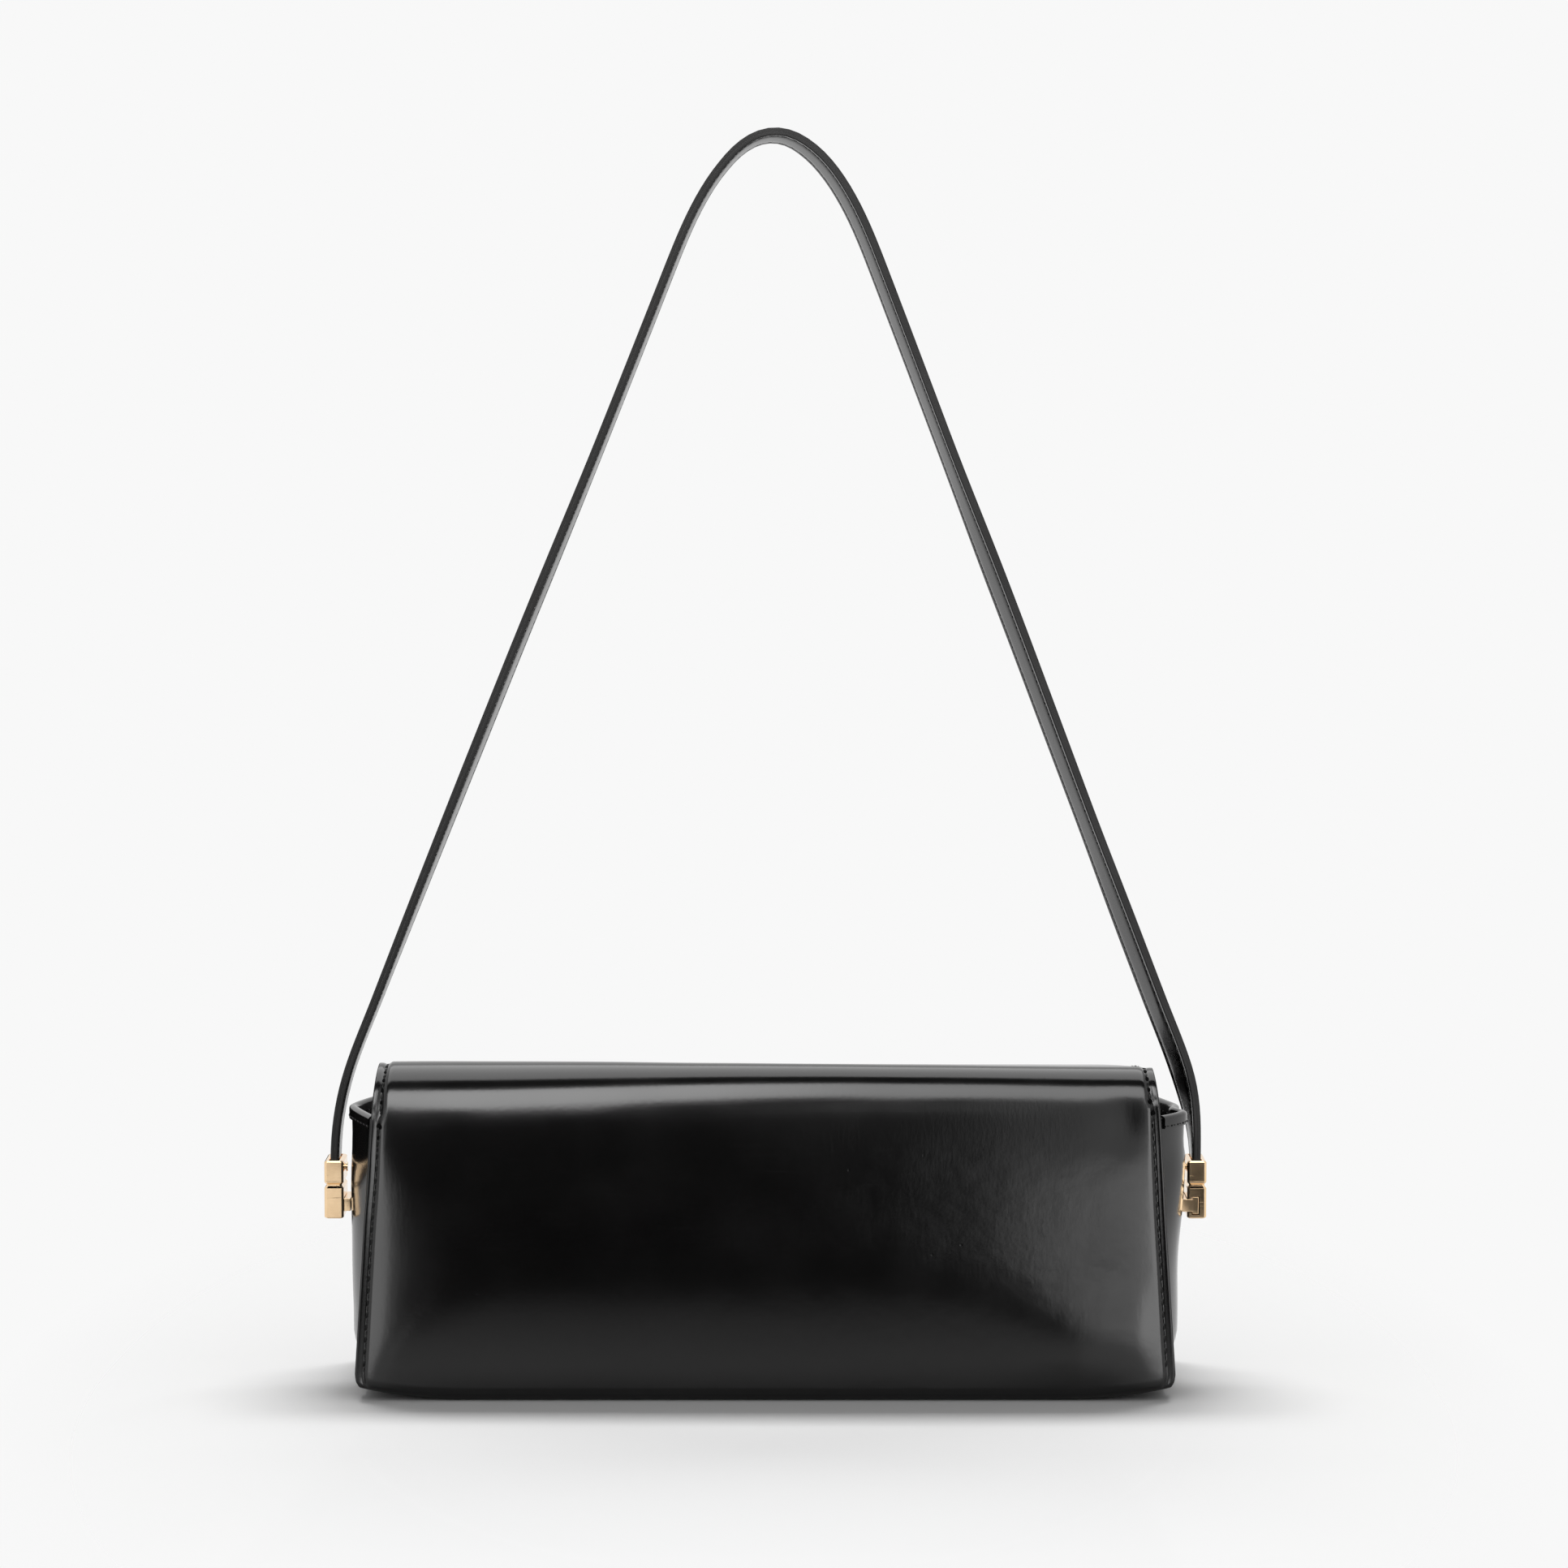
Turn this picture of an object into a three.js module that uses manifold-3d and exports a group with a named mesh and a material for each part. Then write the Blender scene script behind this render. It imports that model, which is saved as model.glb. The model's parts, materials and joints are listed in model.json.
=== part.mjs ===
// A small structured shoulder bag: a padded leather body with bulging end gussets, a flap that
// folds over the mouth from the back edge, and a flat strap held in two metal end caps.
// Millimetres. The origin is on the table under the middle of the bag. +X runs along the bag's
// width, +Y towards its front, +Z up. The back of the bag faces -Y.

import * as THREE from 'three';
import { mergeVertices } from 'three/addons/utils/BufferGeometryUtils.js';
import Module from 'manifold-3d';

const wasm = await Module();
wasm.setup();

// Body of the bag, outside
const BASE_WIDTH = 260;
const MOUTH_NARROWER = 8.5;
const BASE_DEPTH = 70;
const MOUTH_SHALLOWER = 8;
const MOUTH_HEIGHT = 89.4;
const TOP_RISE = 16.5;
const BASE_RADIUS = 10;
const FOLD_RADIUS = 14;
const BACK_PUFF = 4.5;
const FRONT_PUFF = 2.5;
const PUFF_RUN = 40;
const CORNER_LIFT = 3;
const CORNER_RUN = 35;

// Layers, from the outside in
const LEATHER = 1.3;
const GAP = 0.3;
const PAD = 0.8;
const BOARD = 1.2;
const LINING = 0.7;
const FACING_DROP = 12;
const SEAM = 6;
const INNER_END = 8;

// Gussets and their bound top edges
const GUSSET = 1.2;
const GUSSET_BULGE = 3.4;
const GUSSET_FULL_HEIGHT = 16;
const TIP_FLAT = 5;
const FLANGE = 5;
const LINING_STAND_BACK = 6.9;
const BINDING = 0.9;
const BINDING_HEIGHT = 5;
const BINDING_START = 4;

// Slip pocket on the back lining
const POCKET_WIDTH = 150;
const POCKET_BOTTOM = 18;
const POCKET_TOP = 68;

// Flap
const FLAP_SPLIT = 45;
const FLAP_SLOPE = 8.5;
const FLAP_FRONT_RADIUS = 10;
const FLAP_EDGE_HEIGHT = 46;
const FLAP_CORNER = 10;
const FLAP_CLEAR = 0.6;
const FLAP_CORE = 1.2;
const FLAP_STRAP_CLEAR = 1.6;
const FLAP_TAPER_START = -4;

// Hidden magnets that hold the flap shut
const MAGNET_RADIUS = 6;
const MAGNET_THICKNESS = 1;
const MAGNET_X = 62;
const MAGNET_HEIGHT = 61;

// Strap: the two runs lean inwards from the end caps and meet in a rounded crown
const STRAP_WIDTH = 14;
const STRAP_LAYER = 1.25;
const STRAP_LEAN = 21.35;
const STRAP_BEND_RISE = 1.8;
const STRAP_CROWN_HEIGHT = 403.6;
const STRAP_CROWN_DROP = 37;
const STRAP_BEND_IN = 16.8;
const STRAP_BEND_OUT = 25;

// End caps, T-bars and screws
const PIVOT_HEIGHT = 58.4;
const CAP_STAND_OFF = 2.7;
const CAP_THICKNESS = 6.2;
const CAP_DEPTH = 16.5;
const CAP_BELOW_PIVOT = 4.2;
const CAP_ABOVE_PIVOT = 14.5;
const CAP_CORNER = 0.7;
const CAP_CHAMFER = 0.45;
const GROOVE_ABOVE_PIVOT = 6.6;
const GROOVE_WIDTH = 2;
const GROOVE_FLOOR = 0.4;
const GROOVE_DEPTH = 0.6;
const SOCKET_DEPTH = 9.6;
const SLOT_END_WALL = 1.6;
const BAR_STEM_HEIGHT = 4.1;
const BAR_HEAD_HEIGHT = 5.6;
const BAR_HEAD_THICKNESS = 2;
const BAR_NECK_WALL = 1.4;
const BAR_STAND_OFF = 0.6;
const FIT = 0.3;
const RUNNING = 0.1;
const POST_RADIUS = 2;
const POST_HEAD_RADIUS = 2.9;
const POST_HEAD = 0.8;
const PLATE_THICKNESS = 1.2;
const PLATE_WIDTH = 9;
const PLATE_HEIGHT = 20;
const WASHER_THICKNESS = 1;
const WASHER_RADIUS = 4.4;
const SCREW_RADIUS = 0.9;
const SCREW_HEAD_RADIUS = 1.5;
const SCREW_HEAD = 0.5;
const SCREW_BELOW_TOP = 3;
const ROUND_SIDES = 18;

// Overall sizes that follow from the ones above
const MOUTH_WIDTH = BASE_WIDTH - MOUTH_NARROWER;
const MOUTH_DEPTH = BASE_DEPTH - MOUTH_SHALLOWER;
const BAG_HEIGHT = MOUTH_HEIGHT + TOP_RISE;
const GUSSET_TIP = BASE_WIDTH / 2 + GUSSET_BULGE;
const LINING_TIP = GUSSET_TIP - LINING_STAND_BACK;
const STRAP_BEND_HEIGHT = MOUTH_HEIGHT + STRAP_BEND_RISE;
const CAP_X = GUSSET_TIP + CAP_STAND_OFF + CAP_THICKNESS / 2;

// Depths of the layers below the outer face of the leather
const PAD_OUT = LEATHER + GAP;
const PAD_IN = PAD_OUT + PAD;
const BOARD_OUT = PAD_IN + GAP;
const BOARD_IN = BOARD_OUT + BOARD;
const LINING_OUT = BOARD_IN + GAP;
const LINING_IN = LINING_OUT + LINING;
const POCKET_OUT = LINING_IN + GAP;
const POCKET_IN = POCKET_OUT + LINING;
const CORE_OUT = LEATHER + GAP;
const CORE_IN = CORE_OUT + FLAP_CORE;
const FLAP_LINING_OUT = CORE_IN + GAP;
const FLAP_THICKNESS = FLAP_LINING_OUT + LINING;
const FACING_LOW = MOUTH_HEIGHT - FACING_DROP;
const WALL_LOW = BASE_RADIUS + 2;
const FOLD_HEIGHT = BAG_HEIGHT - FOLD_RADIUS;
const STRAP_THICKNESS = 2 * STRAP_LAYER + GAP;

const BACK = -1;
const FRONT = 1;

const material = (color, metalness, roughness) =>
  new THREE.MeshStandardMaterial({ color, metalness, roughness });
const BLACK_LEATHER = material(0x17171a, 0, 0.35);
const LINING_CLOTH = material(0x2b2729, 0, 0.9);
const GOLD = material(0xdcb27c, 1, 0.2);
const STEEL = material(0xa9abad, 1, 0.35);
const STIFFENER = material(0x8d7a63, 0, 0.85);
const FOAM = material(0xc9c6bf, 0, 0.95);

const bag = new THREE.Group();
bag.name = 'shoulder_bag';

function add(name, geometry, finish) {
  const mesh = new THREE.Mesh(geometry, finish);
  mesh.name = name;
  bag.add(mesh);
}

const clamp01 = (value) => Math.min(1, Math.max(0, value));
const ease = (value) => Math.sin((clamp01(value) * Math.PI) / 2);
const mix = (a, b, t) => a + (b - a) * t;
const radians = (degrees) => THREE.MathUtils.degToRad(degrees);

// Half the panel width, and half the depth at the seams, at a height above the table
const halfWidth = (z) => mix(BASE_WIDTH, MOUTH_WIDTH, clamp01(z / MOUTH_HEIGHT)) / 2;
const halfDepth = (z) => mix(BASE_DEPTH, MOUTH_DEPTH, z / MOUTH_HEIGHT) / 2;

// How far the padded panel stands out between its seams
function puff(x, z, side) {
  const height = side === BACK ? BACK_PUFF : FRONT_PUFF;
  const across = ease((halfWidth(z) - SEAM - Math.abs(x)) / PUFF_RUN);
  const below = ease((z - BASE_RADIUS) / PUFF_RUN);
  const above = ease((MOUTH_HEIGHT - z) / PUFF_RUN);
  return height * across * below * above;
}

// The base is flat on the table in the middle and lifts a little towards its ends
function lift(x, z) {
  const run = clamp01((Math.abs(x) - (BASE_WIDTH / 2 - CORNER_RUN)) / CORNER_RUN);
  return CORNER_LIFT * run * run * (1 - clamp01(z / FOLD_HEIGHT));
}

function settle(geometry) {
  const position = geometry.getAttribute('position');
  for (let i = 0; i < position.count; i += 1) {
    position.setZ(i, position.getZ(i) + lift(position.getX(i), position.getZ(i)));
  }
  geometry.computeVertexNormals();
  return geometry;
}

// A closed solid through rings that all have the same number of points. The first half of a ring
// is one side of a sheet, and the second half comes back along the other side.
function loft(rings) {
  const count = rings[0].length;
  const points = rings.flat();
  const faces = [];
  for (let i = 0; i + 1 < rings.length; i += 1) {
    for (let j = 0; j < count; j += 1) {
      const a = i * count + j;
      const b = i * count + ((j + 1) % count);
      faces.push([a, b, b + count], [a, b + count, a + count]);
    }
  }
  const last = (rings.length - 1) * count;
  for (let j = 0; j + 1 < count / 2; j += 1) {
    const a = j;
    const b = j + 1;
    const c = count - 2 - j;
    const d = count - 1 - j;
    faces.push([a, c, b], [a, d, c]);
    faces.push([last + a, last + b, last + c], [last + a, last + c, last + d]);
  }
  let volume = 0;
  for (const [a, b, c] of faces) {
    volume += points[a].dot(points[b].clone().cross(points[c]));
  }
  const index = faces.flatMap(([a, b, c]) => (volume > 0 ? [a, b, c] : [a, c, b]));
  const geometry = new THREE.BufferGeometry();
  const coordinates = points.flatMap((point) => [point.x, point.y, point.z]);
  geometry.setAttribute('position', new THREE.Float32BufferAttribute(coordinates, 3));
  geometry.setIndex(index);
  geometry.computeVertexNormals();
  return geometry;
}

function toSolid(geometry) {
  const bare = geometry.clone();
  bare.deleteAttribute('normal');
  bare.deleteAttribute('uv');
  const joined = mergeVertices(bare, 1e-4);
  const mesh = new wasm.Mesh({
    numProp: 3,
    vertProperties: new Float32Array(joined.getAttribute('position').array),
    triVerts: new Uint32Array(joined.getIndex().array),
  });
  return new wasm.Manifold(mesh);
}

function toGeometry(solid) {
  const mesh = solid.getMesh();
  const geometry = new THREE.BufferGeometry();
  geometry.setAttribute('position', new THREE.Float32BufferAttribute(mesh.vertProperties, 3));
  geometry.setIndex(Array.from(mesh.triVerts));
  geometry.computeVertexNormals();
  return geometry;
}

function carve(geometry, cutters) {
  let solid = toSolid(geometry);
  for (const cutter of cutters) {
    solid = solid.subtract(toSolid(cutter));
  }
  return toGeometry(solid);
}

function weld(geometries) {
  let solid = toSolid(geometries[0]);
  for (const geometry of geometries.slice(1)) {
    solid = solid.add(toSolid(geometry));
  }
  return toGeometry(solid);
}

const block = (x0, x1, y0, y1, z0, z1) =>
  new THREE.BoxGeometry(x1 - x0, y1 - y0, z1 - z0)
    .translate((x0 + x1) / 2, (y0 + y1) / 2, (z0 + z1) / 2);

const rodX = (x0, x1, y, z, radius) =>
  new THREE.CylinderGeometry(radius, radius, x1 - x0, ROUND_SIDES)
    .rotateZ(Math.PI / 2)
    .translate((x0 + x1) / 2, y, z);

// The same piece at the other end of the bag, turned half round about the upright axis
const otherEnd = (geometry) => geometry.clone().rotateZ(Math.PI);

function addPair(name, geometry, finish) {
  add(`${name}_left`, otherEnd(geometry), finish);
  add(`${name}_right`, geometry, finish);
}

// Numbers from -1 to 1 across the bag, closer together near the seams
const STATIONS = [0.45, 0.68, 0.8, 0.9, 1];
const ACROSS = [...STATIONS.map((u) => -u).reverse(), 0, ...STATIONS];

// Half the inside depth at a height, a given distance below the outer leather face
function insideDepth(z, inset) {
  if (z >= BASE_RADIUS) {
    return halfDepth(z) - inset;
  }
  const radius = BASE_RADIUS - inset;
  const rise = Math.min(BASE_RADIUS - z, radius);
  return halfDepth(BASE_RADIUS) - BASE_RADIUS + Math.sqrt(radius * radius - rise * rise);
}

const WALL_HEIGHTS = [18, 30, 46, 62, 75];

// One side of the body's section, from its top edge down to the middle of the base
function wallLine(u, side, inset, top, puffed) {
  const at = (y, z) => {
    const x = u * halfWidth(z);
    const out = puffed ? puff(x, z, side) : 0;
    return new THREE.Vector3(x, side * (y + out), z);
  };
  const heights = [top, ...WALL_HEIGHTS.filter((z) => z < top - 1).reverse()];
  const line = heights.map((z) => at(halfDepth(z) - inset, z));
  const centre = halfDepth(BASE_RADIUS) - BASE_RADIUS;
  const radius = BASE_RADIUS - inset;
  for (const turn of [0, 30, 60, 90]) {
    const angle = radians(turn);
    line.push(at(centre + radius * Math.cos(angle), BASE_RADIUS - radius * Math.sin(angle)));
  }
  return line;
}

// The back edge rolls forward over the top: points of that fold up to an angle in degrees
function foldPoint(u, inset, angle) {
  const radius = FOLD_RADIUS - inset;
  const turn = radians(angle);
  const y = -halfDepth(FOLD_HEIGHT) + FOLD_RADIUS - radius * Math.cos(turn);
  return new THREE.Vector3(u * halfWidth(MOUTH_HEIGHT), y, FOLD_HEIGHT + radius * Math.sin(turn));
}

const splitGap = (THREE.MathUtils.radToDeg(GAP) / FOLD_RADIUS) * 0.6;
const FOLD_TURNS = [44, 22];

function bodyLine(u, inset) {
  const fold = FOLD_TURNS.map((turn) => {
    const angle = turn === FOLD_TURNS[0] ? FLAP_SPLIT - splitGap : turn;
    return foldPoint(u, inset, angle);
  });
  const back = wallLine(u, BACK, inset, FOLD_HEIGHT, true);
  const front = wallLine(u, FRONT, inset, MOUTH_HEIGHT, true);
  return [...fold, ...back, ...front.reverse()];
}

const bodyRings = ACROSS.map((u) => [...bodyLine(u, 0), ...bodyLine(u, LEATHER).reverse()]);
add('body_wrap', settle(loft(bodyRings)), BLACK_LEATHER);

// A sheet against one wall of the bag between two depths and two heights
function wallSheet(side, outside, inside, low, high, endInset, puffed) {
  const heights = [low, ...WALL_HEIGHTS.filter((z) => z > low + 1 && z < high - 1), high];
  const ring = (u) => {
    const place = (z, inset, out) => {
      const x = u * (halfWidth(z) - endInset);
      const y = halfDepth(z) - inset + (out ? puff(x, z, side) : 0);
      return new THREE.Vector3(x, side * y, z);
    };
    const outer = heights.map((z) => place(z, outside, puffed));
    const inner = heights.map((z) => place(z, inside, false));
    return [...outer, ...inner.reverse()];
  };
  return settle(loft(ACROSS.map(ring)));
}

const padEnd = SEAM + INNER_END;
add('back_padding', wallSheet(BACK, PAD_OUT, PAD_IN, WALL_LOW, FACING_LOW - GAP, padEnd, true), FOAM);
add('back_board', wallSheet(BACK, BOARD_OUT, BOARD_IN, WALL_LOW, FACING_LOW - GAP, padEnd, false),
  STIFFENER);
add('front_board', wallSheet(FRONT, BOARD_OUT, BOARD_IN, WALL_LOW, FACING_LOW - GAP, padEnd, false),
  STIFFENER);
add('mouth_facing_back', wallSheet(BACK, PAD_OUT, BOARD_IN, FACING_LOW, MOUTH_HEIGHT, INNER_END, false),
  BLACK_LEATHER);
add('mouth_facing_front', wallSheet(FRONT, PAD_OUT, BOARD_IN, FACING_LOW, MOUTH_HEIGHT, INNER_END, false),
  BLACK_LEATHER);

// The pocket is a flat panel sewn to the back lining along its sides and bottom
const pocketEnd = halfWidth(POCKET_TOP) - POCKET_WIDTH / 2;
add('slip_pocket', wallSheet(BACK, POCKET_OUT, POCKET_IN, POCKET_BOTTOM, POCKET_TOP, pocketEnd, false),
  LINING_CLOTH);

// Base board on the inside of the leather, under the lining
const boardDepth = halfDepth(BASE_RADIUS) - BASE_RADIUS;
const baseRings = ACROSS.map((u) => {
  const x = u * (halfWidth(0) - padEnd);
  const corner = (y, z) => new THREE.Vector3(x, y, z);
  const low = LEATHER + GAP;
  const high = LINING_OUT - GAP;
  return [
    corner(-boardDepth, low),
    corner(boardDepth, low),
    corner(boardDepth, high),
    corner(-boardDepth, high),
  ];
});
add('base_board', settle(loft(baseRings)), STIFFENER);

// Lining: one piece for front, base and back
const liningTop = MOUTH_HEIGHT - GAP;
function liningLine(u, inset) {
  const shorten = (point) => {
    const x = point.x - Math.sign(point.x) * Math.abs(u) * INNER_END;
    return new THREE.Vector3(x, point.y, point.z);
  };
  const back = wallLine(u, BACK, inset, liningTop, false).map(shorten);
  const front = wallLine(u, FRONT, inset, liningTop, false).map(shorten);
  return [...back, ...front.reverse()];
}
const liningRings = ACROSS.map((u) =>
  [...liningLine(u, LINING_OUT), ...liningLine(u, LINING_IN).reverse()]);
add('lining_wrap', settle(loft(liningRings)), LINING_CLOTH);

// A closed strip of even thickness along a line in plan, square at both ends
function stripRing(line, outside, inside, z) {
  const normals = line.map((point, i) => {
    const before = line[Math.max(i - 1, 0)];
    const after = line[Math.min(i + 1, line.length - 1)];
    const first = point.clone().sub(before).normalize();
    const second = after.clone().sub(point).normalize();
    const a = i === 0 ? second : first;
    const b = i === line.length - 1 ? first : second;
    const normal = new THREE.Vector2(a.y + b.y, -a.x - b.x).normalize();
    return normal.divideScalar(normal.dot(new THREE.Vector2(a.y, -a.x)));
  });
  const shift = (by) => line.map((point, i) => {
    const moved = point.clone().addScaledVector(normals[i], by);
    return new THREE.Vector3(moved.x, moved.y, z);
  });
  return [...shift(outside), ...shift(-inside).reverse()];
}

// Plan of the right gusset at a height: sewn edge, root of the seam, then out to a flat tip
function gussetLine(z) {
  const edge = halfWidth(z) - GAP;
  const root = edge - FLANGE;
  const depth = insideDepth(z, PAD_OUT + GUSSET / 2);
  const reach = ease(z / GUSSET_FULL_HEIGHT);
  const tip = mix(root + GUSSET, GUSSET_TIP - GUSSET / 2, reach);
  const flat = Math.min(TIP_FLAT, depth / 3);
  return [
    new THREE.Vector2(edge, -depth),
    new THREE.Vector2(root, -depth),
    new THREE.Vector2(mix(root, tip, 0.56), mix(-depth, -flat, 0.5)),
    new THREE.Vector2(tip, -flat),
    new THREE.Vector2(tip, flat),
    new THREE.Vector2(mix(root, tip, 0.56), mix(depth, flat, 0.5)),
    new THREE.Vector2(root, depth),
    new THREE.Vector2(edge, depth),
  ];
}

const gussetHeights = [PAD_OUT + GAP, 3.5, 6, 10, 18, 28, 40, MOUTH_HEIGHT - BINDING_HEIGHT,
  MOUTH_HEIGHT];
const gussetRings = gussetHeights.map((z) => stripRing(gussetLine(z), GUSSET / 2, GUSSET / 2, z));
const postHole = rodX(GUSSET_TIP - 4, GUSSET_TIP + 4, 0, PIVOT_HEIGHT, POST_RADIUS + FIT);
const gusset = carve(settle(loft(gussetRings)), [postHole]);
addPair('gusset', gusset, BLACK_LEATHER);

// Binding folded over the gusset's top edge between its two seams
function bindingLine(z) {
  const line = gussetLine(z).slice(1, -1);
  const toward = line[1].clone().sub(line[0]).normalize().multiplyScalar(BINDING_START);
  const first = line[0].clone().add(toward);
  const last = new THREE.Vector2(first.x, -first.y);
  return [first, ...line.slice(1, -1), last];
}
const slotHalf = GUSSET / 2 + GAP;
const bandHalf = slotHalf + BINDING;
const bandLow = MOUTH_HEIGHT - BINDING_HEIGHT;
const bandHigh = MOUTH_HEIGHT + GAP + BINDING;
const band = loft([bandLow, bandHigh].map((z) => stripRing(bindingLine(z), bandHalf, bandHalf, z)));
const slotLine = (z) => gussetLine(z).slice(1, -1);
const slotHeights = [bandLow - 1, MOUTH_HEIGHT + GAP];
const bandSlot = loft(slotHeights.map((z) => stripRing(slotLine(z), slotHalf, slotHalf, z)));
addPair('gusset_binding', carve(settle(band), [settle(bandSlot)]), BLACK_LEATHER);

// Lining at each end, clear of the hardware inside the gusset
function liningEndLine(z) {
  const root = halfWidth(z) - INNER_END - LINING - GAP;
  const depth = insideDepth(z, LINING_IN + GAP);
  const reach = ease((z - LINING_IN) / GUSSET_FULL_HEIGHT);
  const tip = mix(root + LINING, LINING_TIP, reach);
  const flat = depth / 3;
  return [
    new THREE.Vector2(root, -depth),
    new THREE.Vector2(tip, -flat),
    new THREE.Vector2(tip, flat),
    new THREE.Vector2(root, depth),
  ];
}
const endHeights = [LINING_IN + GAP, 7.5, 10, 18, 30, 46, liningTop];
const endRings = endHeights.map((z) => stripRing(liningEndLine(z), LINING / 2, LINING / 2, z));
addPair('lining_end', settle(loft(endRings)), LINING_CLOTH);

// Strap route in the plane across the bag: upright out of the cap, a bend, a straight leaning run
// and half of the crown
const lean = radians(STRAP_LEAN);
const runX = Math.sin(lean);
const runZ = Math.cos(lean);
const runMeet = STRAP_BEND_HEIGHT + CAP_X / Math.tan(lean);
const capTop = PIVOT_HEIGHT + CAP_ABOVE_PIVOT;
const socketFloor = capTop - SOCKET_DEPTH;
const crownStart = STRAP_CROWN_HEIGHT - STRAP_CROWN_DROP;
const crownX = (runMeet - crownStart) * Math.tan(lean);
const crownHandle = ((STRAP_CROWN_DROP / 0.75) / runZ);

function strapRoute() {
  const bend = new THREE.QuadraticBezierCurve(
    new THREE.Vector2(CAP_X, STRAP_BEND_HEIGHT - STRAP_BEND_IN),
    new THREE.Vector2(CAP_X, STRAP_BEND_HEIGHT),
    new THREE.Vector2(CAP_X - STRAP_BEND_OUT * runX, STRAP_BEND_HEIGHT + STRAP_BEND_OUT * runZ),
  );
  const crown = new THREE.CubicBezierCurve(
    new THREE.Vector2(crownX, crownStart),
    new THREE.Vector2(crownX - crownHandle * runX, crownStart + crownHandle * runZ),
    new THREE.Vector2(-crownX + crownHandle * runX, crownStart + crownHandle * runZ),
    new THREE.Vector2(-crownX, crownStart),
  );
  const rise = [new THREE.Vector2(CAP_X, socketFloor + FIT), ...bend.getPoints(6)];
  const top = crown.getPoints(12);
  const run = [0.33, 0.67].map((t) => rise[rise.length - 1].clone().lerp(top[0], t));
  const half = [...rise, ...run];
  const mirrored = half.map((point) => new THREE.Vector2(-point.x, point.y)).reverse();
  return [...half, ...top, ...mirrored];
}

// How far from the middle the strap's inner face stands at a height on its straight run
const strapInside = (z) => (runMeet - z) * Math.tan(lean) - STRAP_THICKNESS / 2 / runZ;

// One leather layer of the strap between two distances from the middle of its thickness
function strapLayer(outside, inside) {
  const route = strapRoute();
  const rings = route.map((point, i) => {
    const before = route[Math.max(i - 1, 0)];
    const after = route[Math.min(i + 1, route.length - 1)];
    const along = after.clone().sub(before).normalize();
    const out = new THREE.Vector2(along.y, -along.x);
    const corner = (by, y) =>
      new THREE.Vector3(point.x + out.x * by, y, point.y + out.y * by);
    const half = STRAP_WIDTH / 2;
    return [corner(outside, -half), corner(outside, half), corner(inside, half), corner(inside, -half)];
  });
  return loft(rings);
}

// Flap: starts half-way round the fold, crosses the top and hangs down in front.
const frontFace = (x, z) => halfDepth(z) + puff(x, z, FRONT) + FLAP_CLEAR + FLAP_THICKNESS;
const hinge = foldPoint(0, 0, FLAP_SPLIT);

// The top falls gently from the end of the fold to a rounded front bend. This is the middle of
// that bend.
function frontBendMiddle() {
  const fall = radians(FLAP_SLOPE);
  const top = foldPoint(0, 0, 90 + FLAP_SLOPE);
  let z = MOUTH_HEIGHT;
  let y = 0;
  for (let i = 0; i < 4; i += 1) {
    y = frontFace(0, z) - FLAP_FRONT_RADIUS;
    const along = y + FLAP_FRONT_RADIUS * Math.sin(fall) - top.y;
    z = top.z - along * Math.tan(fall) - FLAP_FRONT_RADIUS * Math.cos(fall);
  }
  return { y, z };
}
const frontBend = frontBendMiddle();

// The flap narrows towards its front edge, so that it lifts clear between the strap's two runs
function flapHalfWidth(y, z) {
  const full = halfWidth(MOUTH_HEIGHT) - GAP;
  const reach = Math.hypot(y - hinge.y, z - hinge.z);
  const strapBack = -STRAP_WIDTH / 2 - hinge.y;
  if (y < FLAP_TAPER_START || reach < strapBack) {
    return full;
  }
  const crossing = hinge.z + Math.sqrt(reach * reach - strapBack * strapBack);
  return Math.min(full, strapInside(crossing) - FLAP_STRAP_CLEAR);
}

const FLAP_FALL = [1, 0.75, 0.5, 0.25];
const EDGE_ROUND = [1, 0.5, 0.15, 0];

function flapLine(u, inset) {
  const place = (y, z, round) => {
    const reference = flapHalfWidth(y, z) - round;
    return new THREE.Vector3(u * reference, y, z);
  };
  const line = [];
  for (const angle of [FLAP_SPLIT + splitGap, 68, 90 + FLAP_SLOPE]) {
    const point = foldPoint(u, inset, angle);
    line.push(place(point.y, point.z, 0));
  }
  const radius = FLAP_FRONT_RADIUS - inset;
  const bend = (angle) => {
    const turn = radians(angle);
    const y = frontBend.y + radius * Math.cos(turn);
    return place(y, frontBend.z + radius * Math.sin(turn), 0);
  };
  const topStart = line[line.length - 1];
  const topEnd = bend(90 - FLAP_SLOPE);
  for (const t of [0.35, 0.65]) {
    line.push(place(mix(topStart.y, topEnd.y, t), mix(topStart.z, topEnd.z, t), 0));
  }
  for (const angle of [90 - FLAP_SLOPE, 55, 28]) {
    line.push(bend(angle));
  }
  const hang = (z, round) => {
    const width = flapHalfWidth(frontFace(0, z), z) - round;
    const x = u * width;
    line.push(new THREE.Vector3(x, frontFace(x, z) - inset, z));
  };
  const cornerTop = FLAP_EDGE_HEIGHT + FLAP_CORNER;
  for (const t of FLAP_FALL) {
    hang(mix(cornerTop, frontBend.z, t), 0);
  }
  for (const t of EDGE_ROUND) {
    const rise = FLAP_CORNER * (1 - t);
    const round = FLAP_CORNER - Math.sqrt(FLAP_CORNER * FLAP_CORNER - rise * rise);
    hang(FLAP_EDGE_HEIGHT + FLAP_CORNER * t, round);
  }
  return line;
}

const flapLayer = (outside, inside) => {
  const rings = ACROSS.map((u) => [...flapLine(u, outside), ...flapLine(u, inside).reverse()]);
  return loft(rings);
};
add('flap_leather', flapLayer(0, LEATHER), BLACK_LEATHER);
add('flap_lining', flapLayer(FLAP_LINING_OUT, FLAP_THICKNESS), BLACK_LEATHER);

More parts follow.
